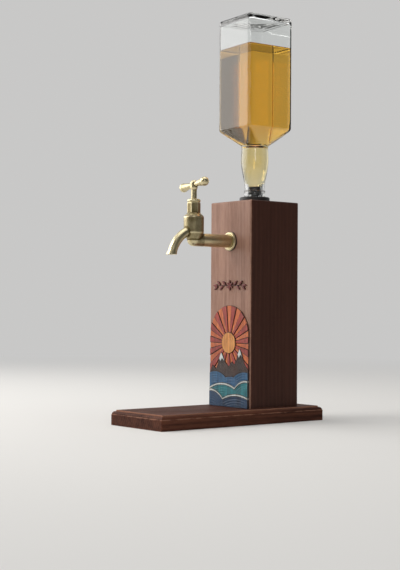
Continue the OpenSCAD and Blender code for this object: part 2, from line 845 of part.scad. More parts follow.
module tap_outside() {
    on_barrel(0) rotate_extrude() {
        intersection() {
            circle(pipe_d / 2);
            translate([0, -pipe_d]) square([pipe_d, 2 * pipe_d]);
        }
        polygon([[0, 0], [pipe_d / 2, 0], [barrel_d / 2, taper_h], [barrel_d / 2, barrel_h], [0, barrel_h]]);
    }
    on_pipe(tap_y) cylinder(r = pipe_d / 2, h = pipe_end - tap_y);
    on_pipe(pipe_end) cylinder(r = tail_d / 2, h = tail_end - pipe_end);
    difference() {
        union() {
            spout_bend(spout_d / 2 - close);
            at_mouth(0) on_slant() rotate_extrude()
                polygon([
                    [0, 0], [flare_d / 2, 0], [spout_d / 2, flare_l], [spout_d / 2, slant_l], [0, slant_l]
                ]);
        }
        at_mouth(-flare_d) translate([-flare_d, -flare_d, 0]) cube([2 * flare_d, 2 * flare_d, flare_d]);
    }
}

// Places its children above the middle of the spout's level mouth
module at_mouth(z) {
    on_barrel(z - spout_drop) translate([0, -spout_reach, 0]) children();
}

// Turns its children along the slant of the spout's end, from the foot of the flare
module on_slant() {
    rotate([spout_fall - 90, 0, 0]) translate([0, 0, -flare_foot]) children();
}

// The spout's bend, thick or bored: it falls from inside the barrel to the top of the upright bore
module spout_bend(r) {
    on_barrel(outlet_l - spout_drop - spout_bend_r * cos(spout_fall))
        translate([0, spout_bend_r * sin(spout_fall) - elbow_reach, 0])
            rotate([90, 0, -90]) rotate(90 - spout_fall)
                rotate_extrude(angle = spout_fall - spout_lead) translate([spout_bend_r, 0]) circle(r);
}

// The spout's bore: the bend, and the upright bore that meets it and ends in the level mouth
module spout_bore() {
    spout_bend(spout_core_d / 2);
    at_mouth(-over) translate([0, spout_reach - elbow_reach, 0])
        cylinder(r = spout_bore_d / 2, h = over + outlet_l + spout_bore_d / 2 / tan(spout_fall));
}

module tap_body() {
    thread_z = barrel_h - bonnet_thread_l - thread_room;
    color("#a98f55") difference() {
        tap_outside();
        on_pipe(tap_y - way_d / 2) cylinder(r = way_d / 2, h = tail_end + over - tap_y + way_d / 2);
        on_pipe(tail_end - tail_plug_l - tail_plug_room)
            cylinder(r = tail_plug_d / 2 + close, h = tail_plug_l + tail_plug_room + over);
        on_barrel(0) cylinder(r = seat_d / 2, h = barrel_h);
        on_barrel(floor_h) difference() {
            cylinder(r = chamber_d / 2, h = barrel_h);
            cylinder(r = seat_d / 2 + seat_rim, h = seat_h);
        }
        on_barrel(thread_z) cylinder(r = bonnet_thread_d / 2 + close, h = barrel_h);
        spout_bore();
    }
}

module wall_flange() {
    color("#a98f55") on_pipe(pipe_end) difference() {
        rotate_extrude() {
            translate([0, flange_chamfer]) square([flange_d / 2, flange_t - flange_chamfer]);
            polygon([
                [0, 0], [flange_d / 2 - flange_bevel, 0], [flange_d / 2, flange_chamfer], [0, flange_chamfer]
            ]);
        }
        translate([0, 0, -over]) cylinder(r = tail_d / 2 + close, h = flange_t + 2 * over);
    }
}

module wall_gasket() {
    color("#191412") on_pipe(post_front - gasket_t)
        tube(flange_d / 2 + gasket_rim, tail_d / 2 + loose, gasket_t);
}

module tail_washer() {
    color("#a9a9a4") on_pipe(post_front + board_t)
        tube(tail_nut_af / 2 + tail_washer_rim, tail_d / 2 + loose, tail_washer_t);
}

module tail_nut() {
    color("#b8923f") on_pipe(post_front + board_t + tail_washer_t)
        hex_nut(tail_nut_af, tail_nut_t, tail_d + 2 * close);
}

module hose_tail() {
    color("#b8923f") {
        on_pipe(tail_end - tail_plug_l) tube(tail_plug_d / 2, drain_d / 2, tail_plug_l);
        on_pipe(tail_end) difference() {
            hexagon(tail_hex_af, tail_hex_t);
            translate([0, 0, -over]) cylinder(r = drain_d / 2, h = tail_hex_t + 2 * over);
        }
        on_pipe(tail_end + tail_hex_t) barb(drain_d);
    }
}

// Headwork: bonnet screwed into the barrel, its fibre ring, packing and gland nut

module bonnet() {
    color("#b49a5c") on_barrel(0) difference() {
        union() {
            translate([0, 0, barrel_h - bonnet_thread_l])
                cylinder(r = bonnet_thread_d / 2, h = bonnet_thread_l + fibre_t);
            translate([0, 0, bonnet_z])
                cylinder(r1 = bonnet_foot_d / 2, r2 = bonnet_af / 2 + bonnet_step, h = bonnet_cone_h);
            translate([0, 0, hex_z]) turned_hexagon(bonnet_af, bonnet_hex_h);
        }
        cylinder(r = spindle_thread_d / 2 + running, h = thread_top);
        cylinder(r = spindle_d / 2 + running, h = gland_z + over);
        translate([0, 0, packing_z]) cylinder(r = packing_d / 2, h = gland_z);
    }
}

module fibre_ring() {
    color("#7a2f22") on_barrel(barrel_h)
        tube(bonnet_foot_d / 2 - fibre_inset, bonnet_thread_d / 2 + loose, fibre_t);
}

module gland_nut() {
    bead = gland_h / 2;
    color("#b49a5c") on_barrel(gland_z) difference() {
        union() {
            rotate_extrude() {
                square([gland_d / 2 - bead, gland_h]);
                intersection() {
                    translate([gland_d / 2 - bead, bead]) circle(bead);
                    square([gland_d, gland_h]);
                }
            }
            translate([0, 0, -gland_plug_l]) cylinder(r = packing_d / 2 - close, h = gland_plug_l);
        }
        translate([0, 0, -gland_plug_l - over])
            cylinder(r = spindle_d / 2 + running, h = gland_h + gland_plug_l + 2 * over);
    }
}

module gland_packing() {
    color("#e6e2d6") on_barrel(packing_z) tube(packing_d / 2 - close, spindle_d / 2 + close, packing_h);
}

// Spindle with its handle: they turn together and climb with the valve

module spindle() {
    color("#b8a368") on_barrel(0) difference() {
        union() {
            translate([0, 0, spindle_z]) cylinder(r = spindle_thread_d / 2, h = spindle_shoulder - spindle_z);
            translate([0, 0, spindle_shoulder]) cylinder(r = spindle_d / 2, h = hub_z - spindle_shoulder);
            translate([0, 0, hub_z]) linear_extrude(square_top - hub_z) square(square_w, center = true);
        }
        translate([0, 0, spindle_z - over])
            cylinder(r = jumper_stem_d / 2 + running, h = jumper_stem_l + over + jumper_room);
        translate([0, 0, square_top - handle_screw_l])
            cylinder(r = handle_screw_d / 2 + close, h = handle_screw_l + over);
    }
}

// One arm of the cross bar, which swells outwards along a curve into a round end
module handle_arm() {
    end_x = handle_l / 2 - arm_end_d / 2;
    steps = 12;
    function arm_d(u) = arm_root_d + (arm_end_d - arm_root_d) * pow(u, arm_flare);
    rotate([0, 90, 0]) rotate_extrude() polygon(concat(
        [[0, 0]],
        [for (i = [0 : steps]) [arm_d(i / steps) / 2, end_x * i / steps]],
        [[0, end_x]]
    ));
    translate([end_x, 0, 0]) sphere(arm_end_d / 2);
}

module handle() {
    color("#b8a368") on_barrel(0) difference() {
        union() {
            translate([0, 0, hub_z]) cylinder(r1 = hub_d / 2 - hub_foot_in, r2 = hub_d / 2, h = hub_foot_h);
            translate([0, 0, hub_z + hub_foot_h])
                cylinder(r = hub_d / 2, h = hub_h - hub_dome_h - hub_foot_h);
            translate([0, 0, screw_seat_z])
                cylinder(r1 = hub_d / 2, r2 = hub_d / 2 - hub_dome_in, h = hub_dome_h);
            translate([0, 0, bar_z]) rotate([0, 0, handle_turn]) rotate([0, -handle_lean, 0])
                for (side = [0, 180]) rotate([0, side, 0]) handle_arm();
        }
        translate([0, 0, hub_z - over]) linear_extrude(square_top + square_room - hub_z + over)
            square(square_w + 2 * close, center = true);
        translate([0, 0, hub_z]) cylinder(r = handle_screw_d / 2 + loose, h = hub_h + over);
        translate([0, 0, screw_seat_z]) cylinder(r = handle_screw_head_d / 2 + close, h = hub_h);
    }
}

module handle_screw() {
    rim_h = hub_dome_h - screw_rim_sink;
    dome_r = (pow(handle_screw_head_d / 2, 2) + screw_dome_h * screw_dome_h) / (2 * screw_dome_h);
    color("#d6c48c") on_barrel(screw_seat_z) {
        cylinder(r = handle_screw_head_d / 2, h = rim_h);
        intersection() {
            translate([0, 0, rim_h + screw_dome_h - dome_r]) sphere(dome_r);
            translate([0, 0, rim_h / 2])
                cylinder(r = handle_screw_head_d / 2, h = rim_h / 2 + screw_dome_h + over);
        }
        translate([0, 0, -handle_screw_l]) cylinder(r = handle_screw_d / 2, h = handle_screw_l);
    }
}

// Valve: jumper pushed by the spindle, with its washer and the nut that holds it

module jumper_valve() {
    color("#b8923f") on_barrel(jumper_z) {
        cylinder(r = jumper_d / 2, h = jumper_t);
        translate([0, 0, jumper_t]) cylinder(r = jumper_stem_d / 2, h = jumper_stem_l);
        translate([0, 0, -washer_t - washer_nut_t - spigot_spare_l])
            cylinder(r = jumper_spigot_d / 2, h = washer_t + washer_nut_t + spigot_spare_l);
    }
}

module tap_washer() {
    color("#232323") on_barrel(washer_z) tube(washer_d / 2, jumper_spigot_d / 2 + close, washer_t);
}

module washer_nut() {
    color("#b8923f") on_barrel(washer_z - washer_nut_t) difference() {
        hexagon(washer_nut_af, washer_nut_t);
        translate([0, 0, -over]) cylinder(r = jumper_spigot_d / 2 + close, h = washer_nut_t + 2 * over);
    }
}

// Bottle, drawn mouth down with its mouth at z = 0

// Radius of the neck's outside at a height above the mouth
function neck_r(z) = z < bulge_h
    ? neck_d / 2 + (bulge_d - neck_d) / 2 * (1 - cos(180 * (z - lip_h) / (bulge_h - lip_h))) / 2
    : bulge_d / 2 - (bulge_d - neck_top_d) / 2 * (1 - cos(90 * (z - bulge_h) / (neck_l - bulge_h)));

module neck_outside() {
    ring_z = lip_h - lip_ring_h;
    steps = 20;
    rotate_extrude() {
        polygon(concat(
            [[0, 0], [lip_d / 2 - lip_edge, 0], [lip_d / 2, lip_edge], [lip_d / 2, ring_z - 2 * lip_groove],
             [lip_d / 2 - lip_groove, ring_z - lip_groove], [lip_d / 2 - lip_groove, ring_z],
             [lip_d / 2, ring_z + lip_groove], [lip_d / 2, lip_h - lip_groove], [neck_d / 2, lip_h]],
            [for (i = [1 : steps]) let (z = lip_h + i * (neck_l - lip_h) / steps) [neck_r(z), z]],
            [[0, neck_l]]
        ));
        translate([0, neck_l - neck_ring_h]) square([neck_top_d / 2 + neck_ring_rim, neck_ring_h]);
    }
}

module neck_inside(gap) {
    steps = 12;
    wall = neck_wall + gap;
    swell_z = mouth_l + bore_run;
    rotate_extrude() polygon(concat(
        [[0, -over], [mouth_d / 2 - gap, -over], [mouth_d / 2 - gap, mouth_l]],
        [for (i = [0 : steps]) let (z = swell_z + i * (neck_l - swell_z) / steps) [neck_r(z) - wall, z]],
        [[0, neck_l]]
    ));
}

// Four-sided shoulder that widens from the neck to the square body
module shoulder(low, high, corner, h) {
    intersection() {
        rotate([90, 0, 0]) linear_extrude(2 * high, center = true)
            polygon([[-low, 0], [low, 0], [high, h], [-high, h]]);
        rotate([90, 0, 90]) linear_extrude(2 * high, center = true)
            polygon([[-low, 0], [low, 0], [high, h], [-high, h]]);
        cylinder(r1 = low + neck_ring_rim, r2 = corner, h = h);
    }
}

// Farthest reach of a round-cornered square from its middle
function corner_reach(w, r) = (w / 2 - r) * sqrt(2) + r;

module body_outside() {
    low = neck_top_d / 2;
    translate([0, 0, shoulder_z])
        shoulder(low, bottle_w / 2, corner_reach(bottle_w, bottle_edge_r), shoulder_h);
    translate([0, 0, body_z]) intersection() {
        linear_extrude(bottle_body_h) round_square(bottle_w, bottle_w, bottle_edge_r);
        crossed(bottle_w, bottle_w) {
            round_topped(bottle_w, bottle_body_h, bottle_foot_r);
            round_topped(bottle_w, bottle_body_h, bottle_foot_r);
        }
    }
}

// The hollow, drawn smaller by the gap all round, filled to a height above the body's start
module body_inside(gap, fill_h) {
    wall = glass_t + gap;
    inner_bottle = bottle_w - 2 * wall;
    inner_edge = bottle_edge_r - glass_t;
    low = neck_r(neck_l) - neck_wall - gap;
    lag = glass_t / 2;
    translate([0, 0, shoulder_z])
        shoulder(low, inner_bottle / 2, corner_reach(inner_bottle, inner_edge), shoulder_h + lag);
    translate([0, 0, body_z + lag]) linear_extrude(fill_h - lag)
        round_square(inner_bottle, inner_bottle, inner_edge);
}

module in_bottle_place() {
    on_post(bottle_z) rotate([0, 0, bottle_turn]) children();
}

module bottle() {
    punt_r = (pow(bottle_w / 2 - stand_ring_w, 2) + punt_h * punt_h) / (2 * punt_h);
    color("#dfe9e6", 0.4) in_bottle_place() difference() {
        union() {
            neck_outside();
            body_outside();
        }
        neck_inside(0);
        body_inside(0, bottle_body_h - foot_t);
        translate([0, 0, bottle_h - punt_h + punt_r]) sphere(punt_r, $fn = 96);
    }
}

module drink() {
    floor_z = stopper_h + drink_gap;
    color("#c8861f", 0.8) in_bottle_place() difference() {
        union() {
            neck_inside(drink_gap);
            body_inside(drink_gap, drink_h);
        }
        translate([0, 0, -2 * over]) cylinder(r = mouth_d, h = floor_z + 2 * over);
        rotate([0, 0, -bottle_turn]) translate([0, vent_offset, 0])
            cylinder(r = vent_d / 2 + drink_gap, h = stopper_h + vent_rise + drink_gap);
    }
}

// Carved relief on the front face, cut from thin boards and glued side by side

// Lays an outline on the front face as a board of the given thickness
module on_front(t) {
    translate([0, post_front, 0]) rotate([90, 0, 0]) linear_extrude(t) children();
}

module field_outline() {
    arch_r = field_w / 2;
    translate([-field_w / 2, field_z]) square([field_w, arch_top - arch_r - field_z + base_t]);
    translate([0, base_t + arch_top - arch_r]) circle(arch_r);
}

// Every other ray from the sun's middle, starting at the given one
module rays(first) {
    step = 360 / ray_count;
    reach = arch_top;
    slit = ray_slit / 2;
    translate([0, sun_z]) for (i = [first : 2 : ray_count - 1]) {
        a = i * step;
        polygon([
            [0, 0],
            reach * [cos(a + slit), sin(a + slit)],
            reach * [cos(a + step - slit), sin(a + step - slit)]
        ]);
    }
}

// Outline of the mountains, from a little below the hills up to the summits
module peaks_outline(raise) {
    points = [for (p = PEAKS) [p[0] * field_w, base_t + p[1] * arch_top + raise]];
    polygon(concat([[-field_w / 2, field_z]], points, [[field_w / 2, field_z]]));
}

// Snow on one summit: the top of the mountain down to a jagged line
module cap_outline(i) {
    top = [PEAKS[i][0] * field_w, base_t + PEAKS[i][1] * arch_top];
    half = cap_w / 2;
    translate(top) polygon([
        [-half, over], [-half, -cap_h * 0.5], [-half * 0.32, -cap_h * 0.62], [-half * 0.1, -cap_h],
        [half * 0.14, -cap_h * 0.66], [half * 0.4, -cap_h * 0.92], [half, -cap_h * 0.5], [half, over]
    ]);
}

// Round hills from one of the lists
module hills(list, raise) {
    for (h = list) translate([h[0] * field_w, base_t + (h[1] - h[2]) * arch_top + raise])
        circle(h[2] * arch_top);
}

module sky(first) {
    difference() {
        intersection() {
            field_outline();
            rays(first);
        }
        translate([0, sun_z]) circle(sun_r + kerf);
        peaks_outline(kerf);
        hills(FAR_HILLS, kerf);
    }
}

module red_rays() {
    color("#b8361f") on_front(high_ray_t) sky(0);
}

module orange_rays() {
    color("#d9692b") on_front(low_ray_t) sky(1);
}

module sun_disc() {
    color("#e8953a") on_front(sun_t) difference() {
        translate([0, sun_z]) circle(sun_r);
        peaks_outline(kerf);
    }
}

module mountain_peaks() {
    color("#3a1f18") on_front(peak_t) difference() {
        peaks_outline(0);
        for (i = SUMMITS) cap_outline(i);
        hills(FAR_HILLS, kerf);
        hills(MID_HILLS, kerf);
        hills(NEAR_HILLS, kerf);
    }
}

module snow_caps() {
    color("#e9ece6") on_front(cap_t) intersection() {
        peaks_outline(0);
        for (i = SUMMITS) translate([0, kerf]) cap_outline(i);
    }
}

module far_ridge() {
    color("#1f5f86") on_front(ridge_t) difference() {
        intersection() {
            field_outline();
            hills(FAR_HILLS, 0);
        }
        hills(MID_HILLS, kerf);
        hills(NEAR_HILLS, kerf);
    }
}

module green_hills() {
    color("#2b8f92") on_front(hill_t) difference() {
        intersection() {
            field_outline();
            hills(MID_HILLS, -crest_w - kerf);
        }
        hills(NEAR_HILLS, kerf);
    }
}

module pale_crests() {
    color("#dfe8e4") on_front(crest_t) {
        difference() {
            intersection() {
                field_outline();
                hills(MID_HILLS, 0);
            }
            hills(MID_HILLS, -crest_w);
            hills(NEAR_HILLS, kerf);
        }
        difference() {
            intersection() {
                field_outline();
                hills(NEAR_HILLS, 0);
            }
            hills(NEAR_HILLS, -crest_w);
        }
    }
}

module low_shore() {
    color("#17456b") on_front(shore_t) intersection() {
        field_outline();
        hills(NEAR_HILLS, -crest_w - kerf);
    }
}

// Pointed leaf along +X from the origin, the overlap of two circles
module leaf(l, w) {
    r = (l * l + w * w) / (4 * w);
    translate([l / 2, 0]) intersection() {
        translate([0, r - w / 2]) circle(r);
        translate([0, w / 2 - r]) circle(r);
    }
}

module leaf_ornament() {
    half = ornament_l / 2;
    first_x = petal_l + 1;
    leaf_step = (half - leaf_l - first_x) / (leaf_count - 1);
    color("#5b1a16") on_front(ornament_t) translate([0, base_t + ornament_h]) {
        for (i = [0 : petal_count - 1]) rotate(90 + i * 360 / petal_count) leaf(petal_l, petal_w);
        for (side = [0, 1]) mirror([side, 0]) {
            translate([0, -stalk_w / 2]) square([half - leaf_l + stalk_w, stalk_w]);
            translate([half - leaf_l, 0]) leaf(leaf_l, leaf_w);
            for (i = [0 : leaf_count - 1]) translate([first_x + i * leaf_step, 0])
                rotate(i % 2 == 0 ? leaf_tilt : -leaf_tilt) leaf(leaf_l, leaf_w);
        }
    }
}

base_board();
base_screws();
front_board();
back_board();
left_board();
right_board();
top_plate();
plinth_block();
seat_collar();
stopper_stem();
stem_washer();
stem_nut();
bottle_stopper();
air_tube();
drain_hose();
hose_clamps();
hose_tail();
tap_body();
wall_flange();
wall_gasket();
tail_washer();
tail_nut();
bonnet();
fibre_ring();
gland_nut();
gland_packing();
spindle();
handle();
handle_screw();
jumper_valve();
tap_washer();
washer_nut();
bottle();
drink();
red_rays();
orange_rays();
sun_disc();
mountain_peaks();
snow_caps();
far_ridge();
green_hills();
pale_crests();
low_shore();
leaf_ornament();
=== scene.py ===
# %% [markdown]
# # A wooden drink dispenser, dressed for the camera
# The real object is a square hollow post of walnut on a moulded board, an old brass tap screwed through
# its front, and an upturned square bottle on top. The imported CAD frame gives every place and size. We load
# it first, because each visible piece made here stands exactly where a CAD node stands.

# %% The frame
import json
import math
import bpy
import bmesh
import numpy as np
from mathutils import Matrix, Vector
from mathutils.geometry import delaunay_2d_cdt
from mathutils.kdtree import KDTree


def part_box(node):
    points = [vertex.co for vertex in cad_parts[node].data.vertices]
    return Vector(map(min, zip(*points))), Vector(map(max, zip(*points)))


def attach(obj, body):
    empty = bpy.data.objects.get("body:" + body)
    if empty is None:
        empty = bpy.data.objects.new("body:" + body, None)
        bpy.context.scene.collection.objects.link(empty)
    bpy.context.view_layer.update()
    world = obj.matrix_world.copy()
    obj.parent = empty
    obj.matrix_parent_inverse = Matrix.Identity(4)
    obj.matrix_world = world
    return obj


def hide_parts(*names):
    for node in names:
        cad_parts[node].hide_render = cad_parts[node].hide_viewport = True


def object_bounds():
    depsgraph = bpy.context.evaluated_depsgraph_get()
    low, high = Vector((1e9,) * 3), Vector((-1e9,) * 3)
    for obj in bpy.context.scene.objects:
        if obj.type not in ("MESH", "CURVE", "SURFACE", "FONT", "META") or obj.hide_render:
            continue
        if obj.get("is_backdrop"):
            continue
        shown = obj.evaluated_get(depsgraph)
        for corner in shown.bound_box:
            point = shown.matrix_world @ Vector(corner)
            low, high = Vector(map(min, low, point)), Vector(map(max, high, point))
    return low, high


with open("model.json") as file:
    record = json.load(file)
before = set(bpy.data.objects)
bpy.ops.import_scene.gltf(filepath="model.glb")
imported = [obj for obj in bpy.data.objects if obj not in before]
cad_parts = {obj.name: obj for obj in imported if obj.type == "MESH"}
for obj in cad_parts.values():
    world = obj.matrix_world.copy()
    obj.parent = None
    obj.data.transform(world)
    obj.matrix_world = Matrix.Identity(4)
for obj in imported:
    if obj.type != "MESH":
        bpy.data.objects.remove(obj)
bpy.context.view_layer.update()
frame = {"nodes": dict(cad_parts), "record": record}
MM = 0.001

# %% [markdown]
# ## The camera
# A picture matches a photograph only if both are taken from the same place. The photograph's
# corners gave the camera: almost level, 51 degrees round from the front, 1.6 m away. We write its three
# axes as a matrix, because a slight roll is then one more turn of two of them.

# %% Camera
round_by, look_up, roll = math.radians(51.37), math.radians(0.98), math.radians(-0.35)
aim_height, aim_aside, away_by = 154.9 * MM, 27.3 * MM, 1615.7 * MM
aside = Vector((math.cos(round_by), math.sin(round_by), 0))
level_ahead = Vector((-math.sin(round_by), math.cos(round_by), 0))
ahead = level_ahead * math.cos(look_up) + Vector((0, 0, math.sin(look_up)))
upward = aside.cross(ahead)
right = aside * math.cos(roll) - upward * math.sin(roll)
top = aside * math.sin(roll) + upward * math.cos(roll)
camera = bpy.data.objects.new("camera", bpy.data.cameras.new("camera"))
bpy.context.collection.objects.link(camera)
camera.data.sensor_width, camera.data.lens = 36, 76.58
camera.data.clip_end = 100
camera_place = Vector((0, 0, aim_height)) - aside * aim_aside - level_ahead * away_by
camera.matrix_world = Matrix.Translation(camera_place) @ Matrix((right, top, -ahead)).transposed().to_4x4()
bpy.context.scene.camera = camera
print("camera at", [round(v, 3) for v in camera_place])

# %% [markdown]
# ## Nodes that read like sums
# Most nodes of a shader group or a geometry tree are plain sums, which are hard to follow when written node
# by node. So an output is wrapped in a small class whose operators add the Math nodes, and a line such as
# `ring * 0.16 + streak * 0.62` builds the nodes that it reads as.

# %% Node helpers
class Sum:
    def __init__(self, tree, socket):
        self.tree, self.socket = tree, socket


SIGNS = {"add": "ADD", "sub": "SUBTRACT", "mul": "MULTIPLY", "truediv": "DIVIDE", "pow": "POWER"}
for sign, how in SIGNS.items():
    setattr(Sum, f"__{sign}__", lambda one, other, how=how: maths(one.tree, how, one, other))
    setattr(Sum, f"__r{sign}__", lambda one, other, how=how: maths(one.tree, how, other, one))


def into(tree, sockets, values):
    for label, value in values.items():
        value = value.socket if isinstance(value, Sum) else value
        if isinstance(value, bpy.types.NodeSocket):
            tree.links.new(value, sockets[label])
        else:
            sockets[label].default_value = value


def add(tree, kind, ins=None, **settings):
    made = tree.nodes.new(kind)
    for name, value in settings.items():
        setattr(made, name, value)
    into(tree, made.inputs, ins or {})
    return made


def first(tree, kind, ins=None, **settings):
    return Sum(tree, add(tree, kind, ins, **settings).outputs[0])


def maths(tree, how, a, b=0.0):
    return first(tree, "ShaderNodeMath", {0: a, 1: b}, operation=how)


def blend(tree, share, a, b, how="MIX"):
    mixed = add(tree, "ShaderNodeMix", {0: share, 6: a, 7: b}, data_type="RGBA", blend_type=how)
    return Sum(tree, mixed.outputs[2])


def remap(tree, value, low, high, to_low=0.0, to_high=1.0, how="SMOOTHSTEP"):
    return first(tree, "ShaderNodeMapRange", {0: value, 1: low, 2: high, 3: to_low, 4: to_high},
                 interpolation_type=how)


def mottle(tree, place, stretch, detail=2.0, rough=0.5):
    spread = first(tree, "ShaderNodeVectorMath", {0: place, 1: stretch}, operation="MULTIPLY")
    return first(tree, "ShaderNodeTexNoise", {"Vector": spread, "Scale": 1.0, "Detail": detail, "Roughness": rough})


def per_size(tree, place, size):
    return first(tree, "ShaderNodeVectorMath", {0: place, "Scale": 1.0 / size}, operation="SCALE")


def triple(tree, x, y, z):
    return first(tree, "ShaderNodeCombineXYZ", {0: x, 1: y, 2: z})


def parts(tree, vector):
    return [Sum(tree, part) for part in add(tree, "ShaderNodeSeparateXYZ", {0: vector}).outputs]


SORTS = {float: "Float", int: "Int", tuple: "Color", "number": "Float", "colour": "Color", "vector": "Vector",
         "mesh": "Geometry", "finish": "Material", "object": "Object"}


def group(name, ins, outs, kind="ShaderNodeTree"):
    tree = bpy.data.node_groups.new(name, kind)
    for label, given in ins.items():
        named = isinstance(given, str)
        sort = "NodeSocket" + SORTS[given if named else type(given)]
        socket = tree.interface.new_socket(name=label, in_out="INPUT", socket_type=sort)
        if not named:
            socket.default_value = given
    for label, sort in outs.items():
        tree.interface.new_socket(name=label, in_out="OUTPUT", socket_type="NodeSocket" + SORTS[sort])
    sockets = tree.nodes.new("NodeGroupInput").outputs
    return tree, {label: Sum(tree, sockets[label]) for label in ins}, tree.nodes.new("NodeGroupOutput").inputs


print("node helpers ready")

# %% [markdown]
# ## Wood grain as a solid
# Grain runs through a board, so its end shows rings and its face shows long lines. A solid pattern gives
# both: distance from the tree's heart makes the rings, slow noise bends them, and noise that is drawn out
# along the board makes fibres and pores. It is one group, because every board and painted piece shares it.

# %% Grain group
grain, g_in, g_out = group("grain", {
    "Place": "vector", "Light": (0.5, 0.3, 0.2, 1), "Dark": (0.2, 0.1, 0.06, 1), "Ring width": 0.004,
    "Bend": 0.010, "Pore depth": 1.0,
}, {"Colour": "colour", "Fibre": "number", "Height": "number"})
place = g_in["Place"]
heart_x, heart_y = 0.31, 0.16
slow = mottle(grain, place, (14, 14, 2.0))
x, y, z = parts(grain, place)
from_heart = maths(grain, "SQRT", (x + heart_x) ** 2.0 + (y + heart_y) ** 2.0) + (slow - 0.5) * g_in["Bend"]
wave = maths(grain, "SINE", from_heart / g_in["Ring width"] * (2 * math.pi))
ring = (wave * 0.5 + 0.5) ** 1.6
streak = mottle(grain, place, (210, 210, 11), 3.0, 0.55)
fibre = mottle(grain, place, (900, 900, 60), 3.0, 0.6)
pore = remap(grain, mottle(grain, place, (1300, 1300, 110), 1.0), 0.60, 0.70)
patch = mottle(grain, place, (30, 30, 7), 2.0)
tone = ring * 0.16 + streak * 0.62 + fibre * 0.44 + patch * 0.36
coloured = blend(grain, remap(grain, tone, 0.46, 1.06), g_in["Dark"], g_in["Light"])
coloured = blend(grain, pore * 0.45 * g_in["Pore depth"], coloured, g_in["Dark"])
into(grain, g_out, {"Colour": coloured, "Fibre": fibre, "Height": fibre * 0.5 - pore * 0.8})
print("grain group:", len(grain.nodes), "nodes")

# %% [markdown]
# ## What happens at an edge
# A board's arris is painted lighter, partly as the polish of hands and partly as a painted highlight along it,
# and a laser burns the edge of a thin board dark. Both are made the same way: another colour near an edge,
# broken up by noise. The distance to the edge comes as an attribute that is measured on the mesh, so the group
# takes it in millimetres.

# %% Edge group
edge, e_in, e_out = group("edge tint", {
    "Place": "vector", "Colour": (0.5, 0.5, 0.5, 1), "Tint": (0.1, 0.1, 0.1, 1), "Edge mm": 5.0,
    "Reach mm": 1.0, "Strength": 1.0, "Patch size": 0.004,
}, {"Colour": "colour", "Mask": "number"})
broken = mottle(edge, per_size(edge, e_in["Place"], e_in["Patch size"]), (1, 1, 1), 3.0, 0.6)
reach = e_in["Reach mm"] * remap(edge, broken, 0.3, 0.7, 0.45, 1.55)
mask = (1.0 - remap(edge, e_in["Edge mm"] / reach, 0.0, 1.0)) * e_in["Strength"]
into(edge, e_out, {"Colour": blend(edge, mask, e_in["Colour"], e_in["Tint"]), "Mask": mask})
print("edge group:", len(edge.nodes), "nodes")

# %% [markdown]
# ## Handling
# No surface that is touched stays evenly smooth. This group gives a roughness that drifts between two
# values at two sizes, with a faint height to match. Wood, paint, rubber and glass use it.

# %% Handling group
handled, h_in, h_out = group("handling", {
    "Place": "vector", "Size": 0.02, "Smooth": 0.3, "Rough": 0.5,
}, {"Roughness": "number", "Height": "number", "Drift": "number"})
spread = per_size(handled, h_in["Place"], h_in["Size"])
drift = mottle(handled, spread, (1, 1, 1), 3.0, 0.55)
speck = mottle(handled, spread, (17, 17, 17), 2.0, 0.6)
roughness = remap(handled, drift * 0.7 + speck * 0.3, 0.33, 0.67, h_in["Smooth"], h_in["Rough"], "LINEAR")
into(handled, h_out, {"Roughness": roughness, "Height": speck, "Drift": drift})
print("handling group:", len(handled.nodes), "nodes")

# %% [markdown]
# ## Materials
# A material starts as a Principled shader. Numbers that are the same all over are set on the shader itself,
# because exported files keep them only there, and what changes over the surface comes from the groups.

# %% Material helpers
finishes = {}


def material(name):
    made = finishes[name] = bpy.data.materials.new(name)
    made.use_nodes = True
    tree = made.node_tree
    return tree, tree.nodes["Principled BSDF"].inputs, add(tree, "ShaderNodeTexCoord").outputs["Object"]


def use(tree, which, ins):
    return add(tree, "ShaderNodeGroup", ins, node_tree=which).outputs


def attribute(tree, name):
    return add(tree, "ShaderNodeAttribute", attribute_name=name).outputs["Fac"]


def bump(tree, height, depth, strength=1.0):
    return first(tree, "ShaderNodeBump", {"Height": height, "Distance": depth, "Strength": strength})


def covered(tree, shader, place, height, depth_mm, worn, touched):
    tinted = use(tree, edge, {"Place": place, "Edge mm": attribute(tree, "edge_mm"), **worn})
    gloss = use(tree, handled, {"Place": place, **touched})
    into(tree, shader, {"Base Color": tinted["Colour"], "Roughness": gloss["Roughness"],
                        "Normal": bump(tree, height, depth_mm * MM, 0.6)})


print("material helpers ready")

# %% [markdown]
# ## The woods
# The post's front and top are oiled walnut with a pink cast, painted in the wood's lit tone. Its sides are the
# same walnut painted darker, as painted shade, and the board below is stained reddish brown. All are the grain
# group with other colours. The grain stands upright in the post and lies along the base, so the place is
# turned before it enters the group. Oil leaves wood nearly matt, and a low specular level keeps the pale room
# from lying over the dark boards like a veil.

# %% Wood materials
def wood(name, light, dark, lies_along, shift, ring=0.004, wear_and_painted_light=None, wear_and_highlight_strength=0.5, reach=1.6, smooth=0.42,
         rough=0.6, shine=0.5):
    tree, shader, place = material(name)
    x, y, z = parts(tree, place)
    turned = triple(tree, x, z, y) if lies_along == "Y" else triple(tree, x, y, z)
    moved = first(tree, "ShaderNodeVectorMath", {0: turned, 1: shift}, operation="ADD")
    body = use(tree, grain, {"Place": moved, "Light": (*light, 1), "Dark": (*dark, 1), "Ring width": ring})
    # The arris tint lightens each edge: partly polished wear, partly a painted highlight.
    covered(tree, shader, place, body["Height"], 0.12,
            {"Colour": body["Colour"], "Tint": (*(wear_and_painted_light or light), 1), "Reach mm": reach, "Strength": wear_and_highlight_strength,
             "Patch size": 0.012}, {"Size": 0.03, "Smooth": smooth, "Rough": rough})
    into(tree, shader, {"Specular IOR Level": shine})
